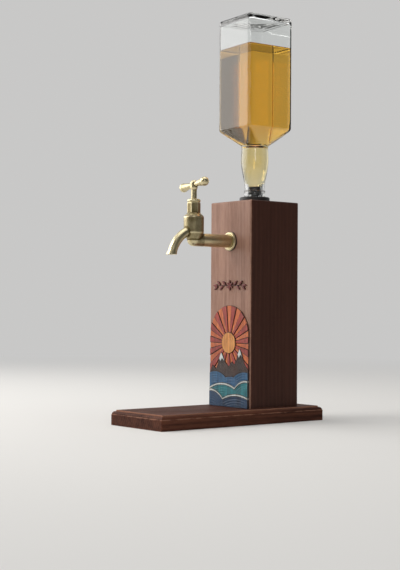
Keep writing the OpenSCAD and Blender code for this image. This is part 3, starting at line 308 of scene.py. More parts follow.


# front_wood is the walnut in its lit tone and side_wood the same walnut darkened: painted light and painted shade.
wood("front_wood", (0.395, 0.222, 0.158), (0.215, 0.106, 0.071), "Z", (0, 0, 0), 0.0026, (0.52, 0.31, 0.22), 0.6,
     shine=0.3)
wood("side_wood", (0.068, 0.025, 0.016), (0.046, 0.016, 0.010), "Z", (0.2, 0.1, 0.3), 0.0034, (0.22, 0.10, 0.07),
     0.55, shine=0.15)
wood("base_wood", (0.130, 0.047, 0.027), (0.030, 0.009, 0.006), "Y", (0.5, 0.2, 0.1), 0.0036, (0.40, 0.20, 0.13),
     0.8, 0.9, 0.48, 0.62, 0.08)
wood("inner_wood", (0.52, 0.36, 0.22), (0.34, 0.21, 0.12), "Z", (0.9, 0.4, 0.7), 0.005)
print("woods:", ", ".join(finishes))

# %% [markdown]
# ## Cutting a copy to work on
# A CAD node arrives as loose triangles. A copy of it is merged and its flat faces are joined, so that a
# bevel can find its real edges. Then every point is given its distance to the nearest sharp edge.

# %% Mesh helpers
def merged(node, flat_within=0.6):
    made = bmesh.new()
    made.from_mesh(frame["nodes"][node].data)
    bmesh.ops.remove_doubles(made, verts=made.verts, dist=2e-6)
    if flat_within:
        bmesh.ops.dissolve_limit(made, angle_limit=math.radians(flat_within), verts=made.verts, edges=made.edges)
    return made


def is_sharp(e, angle):
    return len(e.link_faces) == 2 and e.calc_face_angle(0) > math.radians(angle)


def bevelled(made, width, angle=28):
    sharp = [e for e in made.edges if is_sharp(e, angle)]
    bmesh.ops.bevel(made, geom=sharp, offset=width, segments=2, profile=0.6, affect="EDGES", clamp_overlap=True)


def shaded(made, crease):
    for face in made.faces:
        face.smooth = True
    for e in made.edges:
        e.smooth = not is_sharp(e, crease)


def as_mesh(made, name):
    mesh = bpy.data.meshes.new(name)
    made.to_mesh(mesh)
    made.free()
    return mesh


def write(mesh, label, values):
    mesh.attributes.new(label, "FLOAT", "POINT").data.foreach_set("value", np.asarray(values, np.float32))


def edge_points(edges, step=MM):
    found = []
    for e in edges:
        a, b = e.verts[0].co, e.verts[1].co
        count = max(1, int((b - a).length / step))
        found += [a.lerp(b, i / count) for i in range(count + 1)]
    return found


def nearest_to(points):
    tree = KDTree(len(points))
    for i, p in enumerate(points):
        tree.insert(p, i)
    tree.balance()
    return lambda p: tree.find(p)[2]


def write_edge_distance(mesh, points, farthest_mm=20.0):
    away = nearest_to(points)
    write(mesh, "edge_mm", [min(farthest_mm, away(v.co) / MM) for v in mesh.vertices])


def as_object(name, mesh, finish):
    made = bpy.data.objects.new(name, mesh)
    bpy.context.collection.objects.link(made)
    mesh.materials.clear()
    mesh.materials.append(finishes[finish])
    return made


def stands_for(made, node):
    record = frame["record"]
    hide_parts(node)
    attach(made, next(b for b, names in record["behaviour"]["bodies"].items() if node in names))
    print(made.name, "stands for", node, "with", len(made.data.polygons), "faces")


print("mesh helpers ready")

# %% [markdown]
# ## The boards
# A planed board is never quite sharp: its arrises are broken with fine paper. We bevel the sharp edges by a
# few tenths of a millimetre, and cut each board just inside its edges, so that the lighter arris, part wear and
# part painted highlight, stays a narrow line and doesn't spread over the whole face.

# %% Boards
def board(node, finish, width_mm, cuts=(1.0, 2.4, 5.0), long_edge_mm=10):
    made = merged(node)
    arrises = [e for e in made.edges if is_sharp(e, 28) and e.calc_length() > long_edge_mm * MM]
    points = edge_points(arrises)
    low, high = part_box(node)
    bevelled(made, width_mm * MM)
    for axis in range(3):
        normal = Vector([float(axis == i) for i in range(3)])
        for cut in cuts:
            for side in (low[axis] + cut * MM, high[axis] - cut * MM):
                if low[axis] < side < high[axis]:
                    bmesh.ops.bisect_plane(made, geom=made.verts[:] + made.edges[:] + made.faces[:],
                                           plane_co=normal * side, plane_no=normal)
    shaded(made, 35)
    mesh = as_mesh(made, node)
    write_edge_distance(mesh, points)
    piece = as_object(node + "_planed", mesh, finish)
    piece.modifiers.new("even shading", "WEIGHTED_NORMAL").keep_sharp = True
    stands_for(piece, node)


board("base_board", "base_wood", 0.30, (1.4, 3.2, 6.0))
# The back and both sides take the darker walnut, which is painted shade.
for node, finish in (("front_board", "front_wood"), ("back_board", "side_wood"), ("left_board", "side_wood"),
                     ("right_board", "side_wood"), ("top_plate", "front_wood")):
    board(node, finish, 0.16)
board("plinth_block", "inner_wood", 0.3, ())

# %% [markdown]
# ## Brass that has aged
# The tap was cast, turned and dipped brown, and hands have rubbed it bright again wherever it stands proud.
# So one group takes a relief value, high on ridges and low in corners, and lets it win against the tarnish.
# The same group with little tarnish makes new brass, zinc plate and steel.

# %% Patina group
patina, p_in, p_out = group("patina", {
    "Place": "vector", "Bright": (0.7, 0.56, 0.3, 1), "Dark": (0.3, 0.2, 0.1, 1), "Relief": 0.0, "Tarnish": 0.5,
    "Size": 0.01, "Smooth": 0.25, "Rough": 0.42,
}, {"Colour": "colour", "Roughness": "number", "Height": "number"})
spread = per_size(patina, p_in["Place"], p_in["Size"])
cloud = mottle(patina, spread, (1, 1, 1), 3.0, 0.6) - 0.5
grit = mottle(patina, spread, (12, 12, 12), 2.0, 0.6) - 0.5
tarnished = remap(patina, p_in["Tarnish"] + cloud * 0.8 + grit * 0.35 - p_in["Relief"], 0.0, 1.0)
into(patina, p_out, {"Colour": blend(patina, tarnished, p_in["Bright"], p_in["Dark"]),
                     "Roughness": p_in["Smooth"] + tarnished * (p_in["Rough"] - p_in["Smooth"]), "Height": grit})


def metal(name, bright, dark, tarnish, size, smooth, rough, depth_mm):
    tree, shader, place = material(name)
    skin = use(tree, patina, {"Place": place, "Bright": (*bright, 1), "Dark": (*dark, 1), "Tarnish": tarnish,
                              "Relief": attribute(tree, "relief"), "Size": size, "Smooth": smooth, "Rough": rough})
    into(tree, shader, {"Base Color": skin["Colour"], "Metallic": 1.0, "Roughness": skin["Roughness"],
                        "Normal": bump(tree, skin["Height"], depth_mm * MM)})


metal("old_brass", (0.70, 0.61, 0.38), (0.15, 0.115, 0.050), 0.48, 0.016, 0.34, 0.48, 0.01)
metal("bright_brass", (0.86, 0.66, 0.28), (0.60, 0.42, 0.16), 0.25, 0.008, 0.18, 0.32, 0.02)
metal("zinc_steel", (0.66, 0.66, 0.64), (0.42, 0.42, 0.40), 0.35, 0.005, 0.28, 0.48, 0.03)
metal("stainless", (0.76, 0.77, 0.78), (0.55, 0.55, 0.56), 0.2, 0.006, 0.16, 0.30, 0.02)
print("patina group:", len(patina.nodes), "nodes, in four metals")

# %% [markdown]
# ## Rubber, fibre and silicone
# These have no pattern of their own, only small drifts of tone and shine. Each is the handling group with
# two near tones and a fine bump.

# %% Soft finishes
def even_finish(name, light, dark, size, smooth, rough, depth_mm):
    tree, shader, place = material(name)
    skin = use(tree, handled, {"Place": place, "Size": size, "Smooth": smooth, "Rough": rough})
    tone = blend(tree, remap(tree, skin["Drift"], 0.32, 0.68), (*dark, 1), (*light, 1))
    into(tree, shader, {"Base Color": tone, "Roughness": skin["Roughness"],
                        "Normal": bump(tree, skin["Height"], depth_mm * MM, 0.7)})


even_finish("black_rubber", (0.034, 0.032, 0.031), (0.016, 0.015, 0.015), 0.006, 0.42, 0.68, 0.08)
even_finish("silicone", (0.80, 0.78, 0.73), (0.70, 0.67, 0.60), 0.012, 0.28, 0.42, 0.04)
even_finish("red_fibre", (0.130, 0.045, 0.030), (0.070, 0.026, 0.018), 0.0015, 0.62, 0.8, 0.08)
even_finish("white_packing", (0.86, 0.84, 0.78), (0.66, 0.62, 0.54), 0.0012, 0.7, 0.85, 0.12)
print("soft finishes ready")

# %% [markdown]
# ## Casting the tap
# In CAD the pipe meets the barrel at a sharp line, but molten brass leaves a soft corner there. A voxel
# remesh turns the solid into one even skin. We then relax only the hollow corners, which fills them like a
# casting's fillets and leaves the turned edges crisp. How far each point stands out is kept as its relief, and
# some parts add painted highlight and painted shade to it. Softening also narrows a bore, so the walls round
# the turning spindle are moved back again.

# %% Casting
barrel_y = sum(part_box("gland_nut"), Vector()).y / 2
SOFTEN, FILL, HOLLOW, PROUD = 0.5, 0.8, 0.05, 0.3
NORMALS_EVERY, BLUR_ROUNDS = 4, 10
BORE_FREE_MM = 0.25


def averaged(points, pairs, count):
    near = np.bincount(pairs[:, 0], minlength=count)[:, None]
    total = [np.bincount(pairs[:, 0], points[pairs[:, 1], i], count) for i in range(3)]
    return np.stack(total, 1) / np.maximum(near, 1)


def read(things, field):
    values = np.empty(len(things) * 3, np.float32)
    things.foreach_get(field, values)
    return values.reshape(-1, 3).astype(np.float64)


def put(mesh, points):
    mesh.vertices.foreach_set("co", points.ravel().astype(np.float32))
    mesh.update()
    return read(mesh.vertices, "normal")


def settled(piece):
    bpy.context.view_layer.update()
    made = bpy.data.meshes.new_from_object(piece.evaluated_get(bpy.context.evaluated_depsgraph_get()))
    piece.modifiers.clear()
    piece.data = made
    return made


def cast(node, name, finish, voxel_mm, fillet, settle=3, wear_and_painted_light=None, bore_mm=0):
    piece = as_object(name, as_mesh(merged(node, 0), node), finish)
    voxel = voxel_mm * MM
    skin = piece.modifiers.new("skin", "REMESH")
    skin.mode, skin.voxel_size, skin.adaptivity = "VOXEL", voxel, 0
    mesh = settled(piece)
    count = len(mesh.vertices)
    pairs = np.empty(len(mesh.edges) * 2, np.int32)
    mesh.edges.foreach_get("vertices", pairs)
    pairs = pairs.reshape(-1, 2)
    pairs = np.concatenate([pairs, pairs[:, ::-1]])
    points = read(mesh.vertices, "co")
    for turn in range(settle):
        points += SOFTEN * (averaged(points, pairs, count) - points)
    normals = put(mesh, points)
    inner = np.hypot(points[:, 0], points[:, 1] - barrel_y) < bore_mm * MM
    points -= BORE_FREE_MM * MM * normals * inner[:, None]
    for turn in range(fillet):
        if turn % NORMALS_EVERY == 0:
            normals = put(mesh, points)
        pull = averaged(points, pairs, count) - points
        hollow = np.einsum("ij,ij->i", pull, normals) > HOLLOW * voxel
        points += pull * hollow[:, None] * FILL
    blurred = points.copy()
    for turn in range(BLUR_ROUNDS):
        blurred = averaged(blurred, pairs, count)
    proud = np.einsum("ij,ij->i", points - blurred, put(mesh, points)) / (PROUD * voxel)
    # The relief here also carries a painted shift: painted highlight where it rises, painted shade where it falls.
    write(mesh, "relief", np.clip(proud, -1, 1) + (wear_and_painted_light(points) if wear_and_painted_light else 0))
    mesh.shade_smooth()
    mesh.materials.clear()
    mesh.materials.append(finishes[finish])
    stands_for(piece, node)


# The spout is brightened as a painted highlight, where it faces the light from above, and the barrel's upright wall
# is darkened as painted shade.
def spout_highlight_barrel_shade(points):
    ahead_of_barrel = np.clip((barrel_y - 13 * MM - points[:, 1]) / (10 * MM), 0, 1)
    from_barrel = np.hypot(points[:, 0], points[:, 1] - barrel_y)
    on_barrel = np.clip((15.5 * MM - from_barrel) / (2 * MM), 0, 1) * (1 - ahead_of_barrel)
    return 0.40 * ahead_of_barrel - 0.35 * on_barrel


cast("tap_body", "tap_casting", "old_brass", 0.45, 16, wear_and_painted_light=spout_highlight_barrel_shade)
# The handle and the rose are darkened as a whole, which is painted shade.
cast("handle", "cross_handle", "old_brass", 0.28, 10, wear_and_painted_light=lambda points: -0.15)
cast("wall_flange", "wall_rose", "old_brass", 0.30, 2, wear_and_painted_light=lambda points: -0.45)

# %% [markdown]
# ## Nuts and turned parts
# The bonnet and the gland nut are machined, so they keep flat facets and only lose the sharpness of their
# edges. The same remesh does that when its voxels are small. Plain turned rings need less: a narrow bevel on
# their real edges catches the light as a turned edge does.

# %% Nuts and rings
# The bonnet is darkened as a whole, which is painted shade.
cast("bonnet", "bonnet_nut", "old_brass", 0.26, 0, 2, lambda points: -0.25, bore_mm=6.5)
cast("gland_nut", "gland_bead", "old_brass", 0.22, 0, 2)
cast("handle_screw", "handle_screw_dome", "old_brass", 0.16, 0, 2)

for node, name, finish, width_mm in (
        ("spindle", "spindle_turned", "old_brass", 0.15), ("seat_collar", "collar_ring", "black_rubber", 0.35),
        ("wall_gasket", "gasket_ring", "black_rubber", 0.15), ("fibre_ring", "fibre_washer", "red_fibre", 0.12),
        ("bottle_stopper", "stopper_plug", "black_rubber", 0.2), ("air_tube", "vent_tube", "stainless", 0.12)):
    made = merged(node)
    bevelled(made, width_mm * MM)
    shaded(made, 40)
    stands_for(as_object(name, as_mesh(made, name), finish), node)

# %% [markdown]
# ## The picture's outlines
# The picture is a jigsaw of thin painted boards. Each CAD board is only a flat slab, so we take its front
# outline, walk round it in half-millimetre steps, and note at each step which way is inward.

# %% Outlines
def front_loops(node):
    made = merged(node, 0)
    front, back = min(v.co.y for v in made.verts), max(v.co.y for v in made.verts)
    flat = {f for f in made.faces if all(abs(v.co.y - front) < 1e-6 for v in f.verts)}
    after = {}
    for f in flat:
        for corner in f.loops:
            if sum(g in flat for g in corner.edge.link_faces) == 1:
                after[corner.vert.index] = corner.link_loop_next.vert.index
    place = {v.index: (v.co.x / MM, v.co.z / MM) for v in made.verts}
    made.free()
    loops = []
    while after:
        here = next(iter(after))
        loop = []
        while here in after:
            loop.append(place[here])
            here = after.pop(here)
        loops.append(np.array(loop))
    return [stepped(loop) for loop in loops if len(loop) > 2], front / MM, back / MM


def stepped(loop, step=0.5):
    made = []
    for a, b in zip(loop, np.roll(loop, -1, axis=0)):
        count = max(1, int(np.ceil(np.linalg.norm(b - a) / step)))
        made += [a + (b - a) * i / count for i in range(count)]
    return np.array(made)


def inward(loop):
    along = np.roll(loop, -1, axis=0) - np.roll(loop, 1, axis=0)
    along /= np.maximum(np.linalg.norm(along, axis=1, keepdims=True), 1e-9)
    return np.stack([-along[:, 1], along[:, 0]], 1)


def inside(points, loops):
    hit = np.zeros(len(points), bool)
    for loop in loops:
        for (ax, az), (bx, bz) in zip(loop, np.roll(loop, -1, axis=0)):
            if az != bz:
                crosses = (az > points[:, 1]) != (bz > points[:, 1])
                hit ^= crosses & (points[:, 0] < (bx - ax) * (points[:, 1] - az) / (bz - az) + ax)
    return hit


def distance_to(samples):
    away = nearest_to([(x, 0, z) for x, z in samples])
    return lambda points: np.array([away((x, 0, z)) for x, z in points])


print("outline helpers ready")

# %% [markdown]
# ## A board with soft burnt edges
# A flat face with few points can't be rounded or carved. So the face is filled with rows of points that
# follow its outline at chosen depths, and a Delaunay triangulation joins them. The rows give the rounded
# edge, and more rows wait where the carving will cut its lines. All lengths here are in millimetres.

# %% Rows of points
EDGE_ROWS, LINE_ROWS = (0.05, 0.14, 0.27, 0.42, 0.8), (-0.36, -0.12, 0.12, 0.36)
CELL, GRID, DEEPEST_LINE = 0.2, 1.1, 30


def rows_of_points(rim, facing, lines, to_rim, crest, crest_facing, to_crest):
    wanted = [(rim, facing, depth, to_rim) for depth in EDGE_ROWS]
    if lines:
        wanted += [(crest, crest_facing, k * lines + off, to_crest)
                   for k in range(1, int(DEEPEST_LINE / lines)) for off in LINE_ROWS]
    filled, cells = [], set()
    for start, way, depth, measure in wanted:
        row = start + way * depth
        for p, d, clear in zip(row, measure(row), to_rim(row)):
            cell = (round(p[0] / CELL), round(p[1] / CELL), depth < 0.5 and depth)
            if d > depth * 0.97 and clear > min(depth, 0.42) * 0.95 and cell not in cells:
                cells.add(cell)
                filled.append(p)
    return np.array(filled).reshape(-1, 2)


def middle_points(rim, lines, to_rim, to_crest):
    low, high = rim.min(0), rim.max(0)
    across, up = np.meshgrid(np.arange(low[0], high[0], GRID), np.arange(low[1], high[1], GRID))
    middle = np.stack([across.ravel(), up.ravel()], 1) + 0.13
    if lines:
        off_line = np.abs((to_crest(middle) / lines + 0.5) % 1 - 0.5) * lines
        middle = middle[off_line > 0.55]
    return middle[to_rim(middle) > GRID]


def joined_up(points, edges, loops):
    spots, _, faces = delaunay_2d_cdt([Vector(p) for p in points], edges, [], 0, 1e-6, False)[:3]
    spots, faces = np.array([tuple(p) for p in spots]), np.array(faces)
    return spots, faces[inside(spots[faces].mean(1), loops)]


print("rows of points ready")

# %% Picture boards
def picture_board(node, name, finish, lines, round_mm=0.4):
    loops, front, back = front_loops(node)
    rim, facing = np.concatenate(loops), np.concatenate([inward(loop) for loop in loops])
    upper = facing[:, 1] < -0.25 if lines else np.ones(len(rim), bool)
    crest = rim[upper]
    to_rim, to_crest = distance_to(rim), distance_to(crest)
    filled = rows_of_points(rim, facing, lines, to_rim, crest, facing[upper], to_crest)
    points = np.concatenate([rim, filled, middle_points(rim, lines, to_rim, to_crest)])
    keep = inside(points, loops)
    keep[:len(rim)] = True
    edges, start = [], 0
    for loop in loops:
        edges += [(start + i, start + (i + 1) % len(loop)) for i in range(len(loop))]
        start += len(loop)
    spots, faces = joined_up(points[keep], edges, loops)
    _, back_faces = joined_up(spots[:len(rim)], edges, loops)
    depth = to_rim(spots)
    fall = np.where(depth < round_mm, round_mm - np.sqrt(np.maximum(round_mm ** 2 - (round_mm - depth) ** 2, 0)), 0)
    fall[:len(rim)] = round_mm
    count = len(spots)
    places = [(x * MM, (front + f) * MM, z * MM) for (x, z), f in zip(spots, fall)]
    places += [(x * MM, back * MM, z * MM) for x, z in spots[:len(rim)]]
    skin = [tuple(int(i) for i in f) for f in faces]
    skin += [tuple(int(i) + count for i in reversed(f)) for f in back_faces]
    skin += [(a, a + count, b + count, b) for a, b in edges]
    mesh = bpy.data.meshes.new(name)
    mesh.from_pydata(places, [], skin)
    for label, values in (("edge_mm", depth), ("crest_mm", to_crest(spots))):
        write(mesh, label, np.concatenate([values, np.zeros(len(rim))]))
    shade_softly(mesh)
    return as_object(name, mesh, finish)


def shade_softly(mesh, crease=50):
    made = bmesh.new()
    made.from_mesh(mesh)
    bmesh.ops.recalc_face_normals(made, faces=made.faces)
    shaded(made, crease)
    made.to_mesh(mesh)
    made.free()


print("picture board helper ready")

# %% [markdown]
# ## Carved lines with Geometry Nodes
# The hills and the sun carry shallow lines that run along their upper edge. The rule is short: where the
# distance to that edge is near a multiple of the spacing, press the face in. A node tree can hold the rule
# with named sizes, so each board gets its own spacing and depth, and noise makes the cut uneven as by hand.

# %% Carving tree
carving, c_in, c_out = group("carving", {
    "Board": "mesh", "Spacing mm": 3.2, "Width mm": 0.7, "Depth": 0.0004, "Margin mm": 1.2, "Seed": 3.0,
    "Finish": "finish",
}, {"Board": "mesh"}, "GeometryNodeTree")


def stored(tree, name):
    return first(tree, "GeometryNodeInputNamedAttribute", {"Name": name}, data_type="FLOAT")


def finished(tree, mesh, finish):
    plain = first(tree, "GeometryNodeRealizeInstances", {"Geometry": mesh})
    return first(tree, "GeometryNodeSetMaterial", {"Geometry": plain, "Material": finish})


crest_mm, edge_mm = stored(carving, "crest_mm"), stored(carving, "edge_mm")
phase = maths(carving, "FRACT", crest_mm / c_in["Spacing mm"] + 0.5)
off_line = maths(carving, "ABSOLUTE", phase - 0.5) * c_in["Spacing mm"]
line = 1.0 - remap(carving, off_line, 0.0, c_in["Width mm"] * 0.5)
line = line * maths(carving, "GREATER_THAN", crest_mm, c_in["Margin mm"]) * remap(carving, edge_mm, 0.3, 1.0)
uneven = first(carving, "ShaderNodeTexNoise", {"W": c_in["Seed"], "Scale": 90.0, "Detail": 1.0},
               noise_dimensions="4D")
press = line * c_in["Depth"] * remap(carving, uneven, 0.35, 0.65, 0.35, 1.2)
pressed = first(carving, "GeometryNodeSetPosition",
                {"Geometry": c_in["Board"], "Offset": triple(carving, 0, press, 0)})
burnt = maths(carving, "MINIMUM", edge_mm, 20.0 - line * 19.75)
marked = first(carving, "GeometryNodeStoreNamedAttribute", {"Geometry": pressed, "Name": "edge_mm", "Value": burnt},
               data_type="FLOAT", domain="POINT")
into(carving, c_out, {"Board": finished(carving, marked, c_in["Finish"])})


def grown(piece, tree, values):
    modifier = piece.modifiers.new("tree", "NODES")
    modifier.node_group = tree
    ids = {s.name: s.identifier for s in tree.interface.items_tree if s.in_out == "INPUT"}
    for label, value in values.items():
        modifier[ids[label]] = value
    settled(piece)


print("carving tree:", len(carving.nodes), "nodes")

# %% [markdown]
# ## Paint on thin boards
# The boards are stained or painted thinly, so grain shows through, brush marks vary the tone, and the laser
# has burnt every edge and line dark. Grain and edge tint are the same groups as on the post.

# %% Paints
def paint(name, colour, deep, see=0.5, burn=0.9, burnt=(0.030, 0.013, 0.008)):
    tree, shader, place = material(name)
    mixed = mottle(tree, place, (260, 260, 60), 3.0, 0.6) * 0.5 + mottle(tree, place, (60, 60, 45)) * 0.6
    tone = blend(tree, remap(tree, mixed, 0.38, 0.72), (*deep, 1), (*colour, 1))
    shades = {"Light": (1, 1, 1, 1), "Dark": (see, see, see, 1)}
    body = use(tree, grain, {"Place": place, "Ring width": 0.003, **shades})
    colour = blend(tree, 1.0, tone, body["Colour"], "MULTIPLY")
    covered(tree, shader, place, body["Height"], 0.1,
            {"Colour": colour, "Tint": (*burnt, 1), "Reach mm": 0.75, "Strength": burn, "Patch size": 0.003},
            {"Size": 0.01, "Smooth": 0.42, "Rough": 0.66})


paint("red_paint", (0.50, 0.055, 0.030), (0.30, 0.030, 0.018))
paint("orange_paint", (0.78, 0.20, 0.045), (0.55, 0.11, 0.030))
paint("amber_paint", (0.85, 0.38, 0.090), (0.66, 0.24, 0.05))
paint("dark_stain", (0.060, 0.024, 0.015), (0.030, 0.012, 0.008))
paint("white_paint", (0.74, 0.78, 0.76), (0.55, 0.60, 0.58), see=0.8, burn=0.75)
paint("blue_paint", (0.035, 0.17, 0.34), (0.015, 0.09, 0.21))
paint("teal_paint", (0.025, 0.28, 0.31), (0.012, 0.16, 0.20))
paint("navy_paint", (0.016, 0.070, 0.165), (0.008, 0.035, 0.09))
paint("dark_red_stain", (0.300, 0.055, 0.045), (0.160, 0.025, 0.020), burn=0.6)
print("paints:", [n for n in finishes if n.endswith(("paint", "stain"))])

# %% Rays, sun, mountains and hills
for node, name, finish, lines in (
        ("red_rays", "rays_red", "red_paint", 0), ("orange_rays", "rays_orange", "orange_paint", 0),
        ("sun_disc", "sun_carved", "amber_paint", 3.4), ("mountain_peaks", "peaks_carved", "dark_stain", 3.1),
        ("snow_caps", "snow_boards", "white_paint", 0), ("far_ridge", "ridge_carved", "blue_paint", 3.3),
        ("green_hills", "hills_carved", "teal_paint", 3.2), ("pale_crests", "crest_strips", "white_paint", 0),
        ("low_shore", "shore_carved", "navy_paint", 3.4)):
    piece = picture_board(node, name, finish, lines)
    if lines:
        grown(piece, carving, {"Spacing mm": float(lines), "Width mm": 0.7, "Depth": 0.45 * MM, "Margin mm": 1.2,
                               "Seed": float(len(node)), "Finish": finishes[finish]})
    stands_for(piece, node)

# %% [markdown]
# ## An ornament of leaves with Geometry Nodes
# Above the picture lies a spray of carved leaves. One leaf is enough: it has a crown and a vein, and the tree
# sets it along both stalks, turned up and down by turns, and round the middle as petals. Making each leaf by
# hand would take longer and drift, while here the count, slant and size are inputs.

# %% One leaf
def leaf_mesh(name, rows=24, across=6):
    made = bmesh.new()
    grid = []
    for i in range(rows + 1):
        t = i / rows
        half = 0.5 * (math.sin(math.pi * t) ** 0.85) + 1e-4
        line = []
        for j in range(-across, across + 1):
            s = j / across
            crown = 0.62 + 0.38 * math.sqrt(max(0.0, 1 - abs(s) ** 2.6)) * (0.7 + 0.3 * math.sin(math.pi * t))
            vein = 0.16 * math.exp(-(s / 0.14) ** 2) * math.sin(math.pi * min(1, t * 1.08)) ** 0.5
            line.append((made.verts.new((t, half * s, crown - vein)), (1 - abs(s)) * half))
        grid.append(line)
    depth = {tuple(round(c, 4) for c in v.co): d for line in grid for v, d in line}
    for a, b in zip(grid, grid[1:]):
        for k in range(2 * across):
            made.faces.new((a[k][0], b[k][0], b[k + 1][0], a[k + 1][0]))
    left, tip = [line[0][0] for line in grid], [v for v, _ in grid[-1][1:]]
    border = left + tip + [line[-1][0] for line in grid[-2::-1]] + [v for v, _ in grid[0][-2:0:-1]]
    low = [made.verts.new((v.co.x, v.co.y, 0)) for v in border]
    for k in range(len(border)):
        n = (k + 1) % len(border)
        made.faces.new((border[k], border[n], low[n], low[k]))
    made.faces.new(low)
    bmesh.ops.remove_doubles(made, verts=made.verts, dist=1e-4)
    bmesh.ops.recalc_face_normals(made, faces=made.faces)
    mesh = as_mesh(made, name)
    width_mm, places = 3.6, [tuple(round(c, 4) for c in v.co) for v in mesh.vertices]
    write(mesh, "edge_mm", [width_mm * depth.get(p, 0.0) for p in places])
    return mesh


leaf_source = bpy.data.objects.new("leaf_source", leaf_mesh("leaf_source"))
print("one leaf:", len(leaf_source.data.polygons), "faces")

# %% Spray tree
spray, s_in, s_out = group("leaf spray", {
    "Leaf": "object", "Leaves a side": 4, "First at": 0.008, "Last at": 0.0246, "Slant": 0.698,
    "Leaf length": 0.0094, "Leaf width": 0.0036, "Petals": 6, "Petal length": 0.007, "Petal width": 0.003,
    "Thickness": 0.002, "Stalk width": 0.001, "Middle": "vector", "Finish": "finish",
}, {"Spray": "mesh"}, "GeometryNodeTree")


def geo(kind, ins=None, **settings):
    return first(spray, "GeometryNode" + kind, ins, **settings)


def vector(x, y, z):
    return triple(spray, x, y, z)


leaf = add(spray, "GeometryNodeObjectInfo", {"Object": s_in["Leaf"]}).outputs["Geometry"]
index, thick = geo("InputIndex"), s_in["Thickness"]
a_side, last = s_in["Leaves a side"] + 1.0, s_in["Leaves a side"] - 1.0
side = maths(spray, "FLOOR", (index + 0.5) / a_side)
number = index - side * a_side
is_end = maths(spray, "GREATER_THAN", number, s_in["Leaves a side"] - 0.5)
step = (s_in["Last at"] - s_in["First at"]) / last
along = maths(spray, "MINIMUM", number, last) * step + s_in["First at"]
way = 1.0 - side * 2.0
odd = 1.0 - maths(spray, "MODULO", number, 2.0) * 2.0
slant = s_in["Slant"] * odd * (1.0 - is_end)
dots = geo("MeshLine", {"Count": a_side * 2.0})
dots = geo("SetPosition", {"Geometry": dots, "Position": vector(along * way, 0, 0)})
leaves = geo("InstanceOnPoints", {
    "Points": dots, "Instance": leaf, "Rotation": vector(0, 0, slant * way + side * math.pi),
    "Scale": vector(s_in["Leaf length"], s_in["Leaf width"], thick)})
ring_dots = geo("MeshLine", {"Count": s_in["Petals"], "Offset": (0, 0, 0)})
fan = index * (2 * math.pi / s_in["Petals"]) + math.pi / 2
petals = geo("InstanceOnPoints", {
    "Points": ring_dots, "Instance": leaf, "Rotation": vector(0, 0, fan),
    "Scale": vector(s_in["Petal length"], s_in["Petal width"], thick)})
reach = s_in["Last at"] + s_in["Stalk width"]
stalk = geo("CurvePrimitiveLine", {"Start": vector(reach * -1.0, 0, 0), "End": vector(reach, 0, 0)})
section = geo("CurvePrimitiveCircle", {"Resolution": 16, "Radius": 1.0}, mode="RADIUS")
section = geo("Transform", {"Geometry": section, "Scale": vector(s_in["Stalk width"] * 0.5, thick * 0.72, 1)})
stem = geo("CurveToMesh", {"Curve": stalk, "Profile Curve": section, "Fill Caps": True})
boss = geo("MeshUVSphere", {"Segments": 20, "Rings": 12, "Radius": 1.0})
boss_width = s_in["Petal width"] * 0.5
boss = geo("Transform", {"Geometry": boss, "Scale": vector(boss_width, boss_width, thick * 0.98)})
joined = add(spray, "GeometryNodeJoinGeometry")
for part in (boss, stem, petals, leaves):
    spray.links.new(part.socket, joined.inputs[0])
stood = geo("Transform", {"Geometry": joined.outputs[0], "Translation": s_in["Middle"],
                          "Rotation": (math.pi / 2, 0, 0)})
real = geo("RealizeInstances", {"Geometry": stood})
soft = geo("SetShadeSmooth", {"Geometry": real})
into(spray, s_out, {"Spray": geo("SetMaterial", {"Geometry": soft, "Material": s_in["Finish"]})})
print("spray tree:", len(spray.nodes), "nodes")

# %% The spray on the post
low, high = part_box("leaf_ornament")
half_length = (high.x - low.x) / 2
spray_piece = as_object("leaf_spray", bpy.data.meshes.new("leaf_spray"), "dark_red_stain")
grown(spray_piece, spray, {"Leaf": leaf_source, "Leaves a side": 4, "First at": 8 * MM,
                           "Last at": half_length - 9.4 * MM, "Slant": math.radians(40),
                           "Middle": (0, high.y, (low.z + high.z) / 2), "Finish": finishes["dark_red_stain"]})
stands_for(spray_piece, "leaf_ornament")
bpy.data.objects.remove(leaf_source)

# %% [markdown]
# ## The bottle
# The glass is round at the neck and square at the body, and moulded in one piece. A cross-section rule covers
# both: take the smaller of a circle and a round-cornered square in each direction, blended softly. Rings of
# that section are stacked from a list of heights, outside and inside, so the wall has its true thickness.
# A ring is its height, its circle, and half the width and the corner of its square, in millimetres.

# %% Section rule
def square_reach(turn, half, corner):
    fold = abs((turn + math.pi / 4) % (math.pi / 2) - math.pi / 4)
    if half * math.tan(fold) <= half - corner:
        return half / math.cos(fold)
    away = (half - corner) * (math.cos(fold) + math.sin(fold))
    return away + math.sqrt(max(0.0, away ** 2 - 2 * (half - corner) ** 2 + corner ** 2))


def smaller(a, b, soft):
    near = max(soft - abs(a - b), 0.0) / soft
    return min(a, b) - near * near * soft * 0.25


def lofted(rings, grow=0.0, around=144):
    points, faces = [], []
    for z, circle, half, corner in rings:
        for k in range(around):
            turn = 2 * math.pi * k / around
            reach = circle if half is None else smaller(circle, square_reach(turn, half, corner), 1.2)
            reach = max(reach + grow, 1e-4)
            points.append((reach * math.cos(turn), reach * math.sin(turn), z))
    for r in range(len(rings) - 1):
        for k in range(around):
            n = (k + 1) % around
            faces.append((r * around + k, r * around + n, (r + 1) * around + n, (r + 1) * around + k))
    for r, turn_over in ((0, True), (len(rings) - 1, False)):
        points.append((0, 0, rings[r][0]))
        for k in range(around):
            a, b = r * around + k, r * around + (k + 1) % around
            faces.append((b, a, len(points) - 1) if turn_over else (a, b, len(points) - 1))
    return points, faces


def circles(*pairs):
    return [(z, radius, None, 0) for z, radius in pairs]


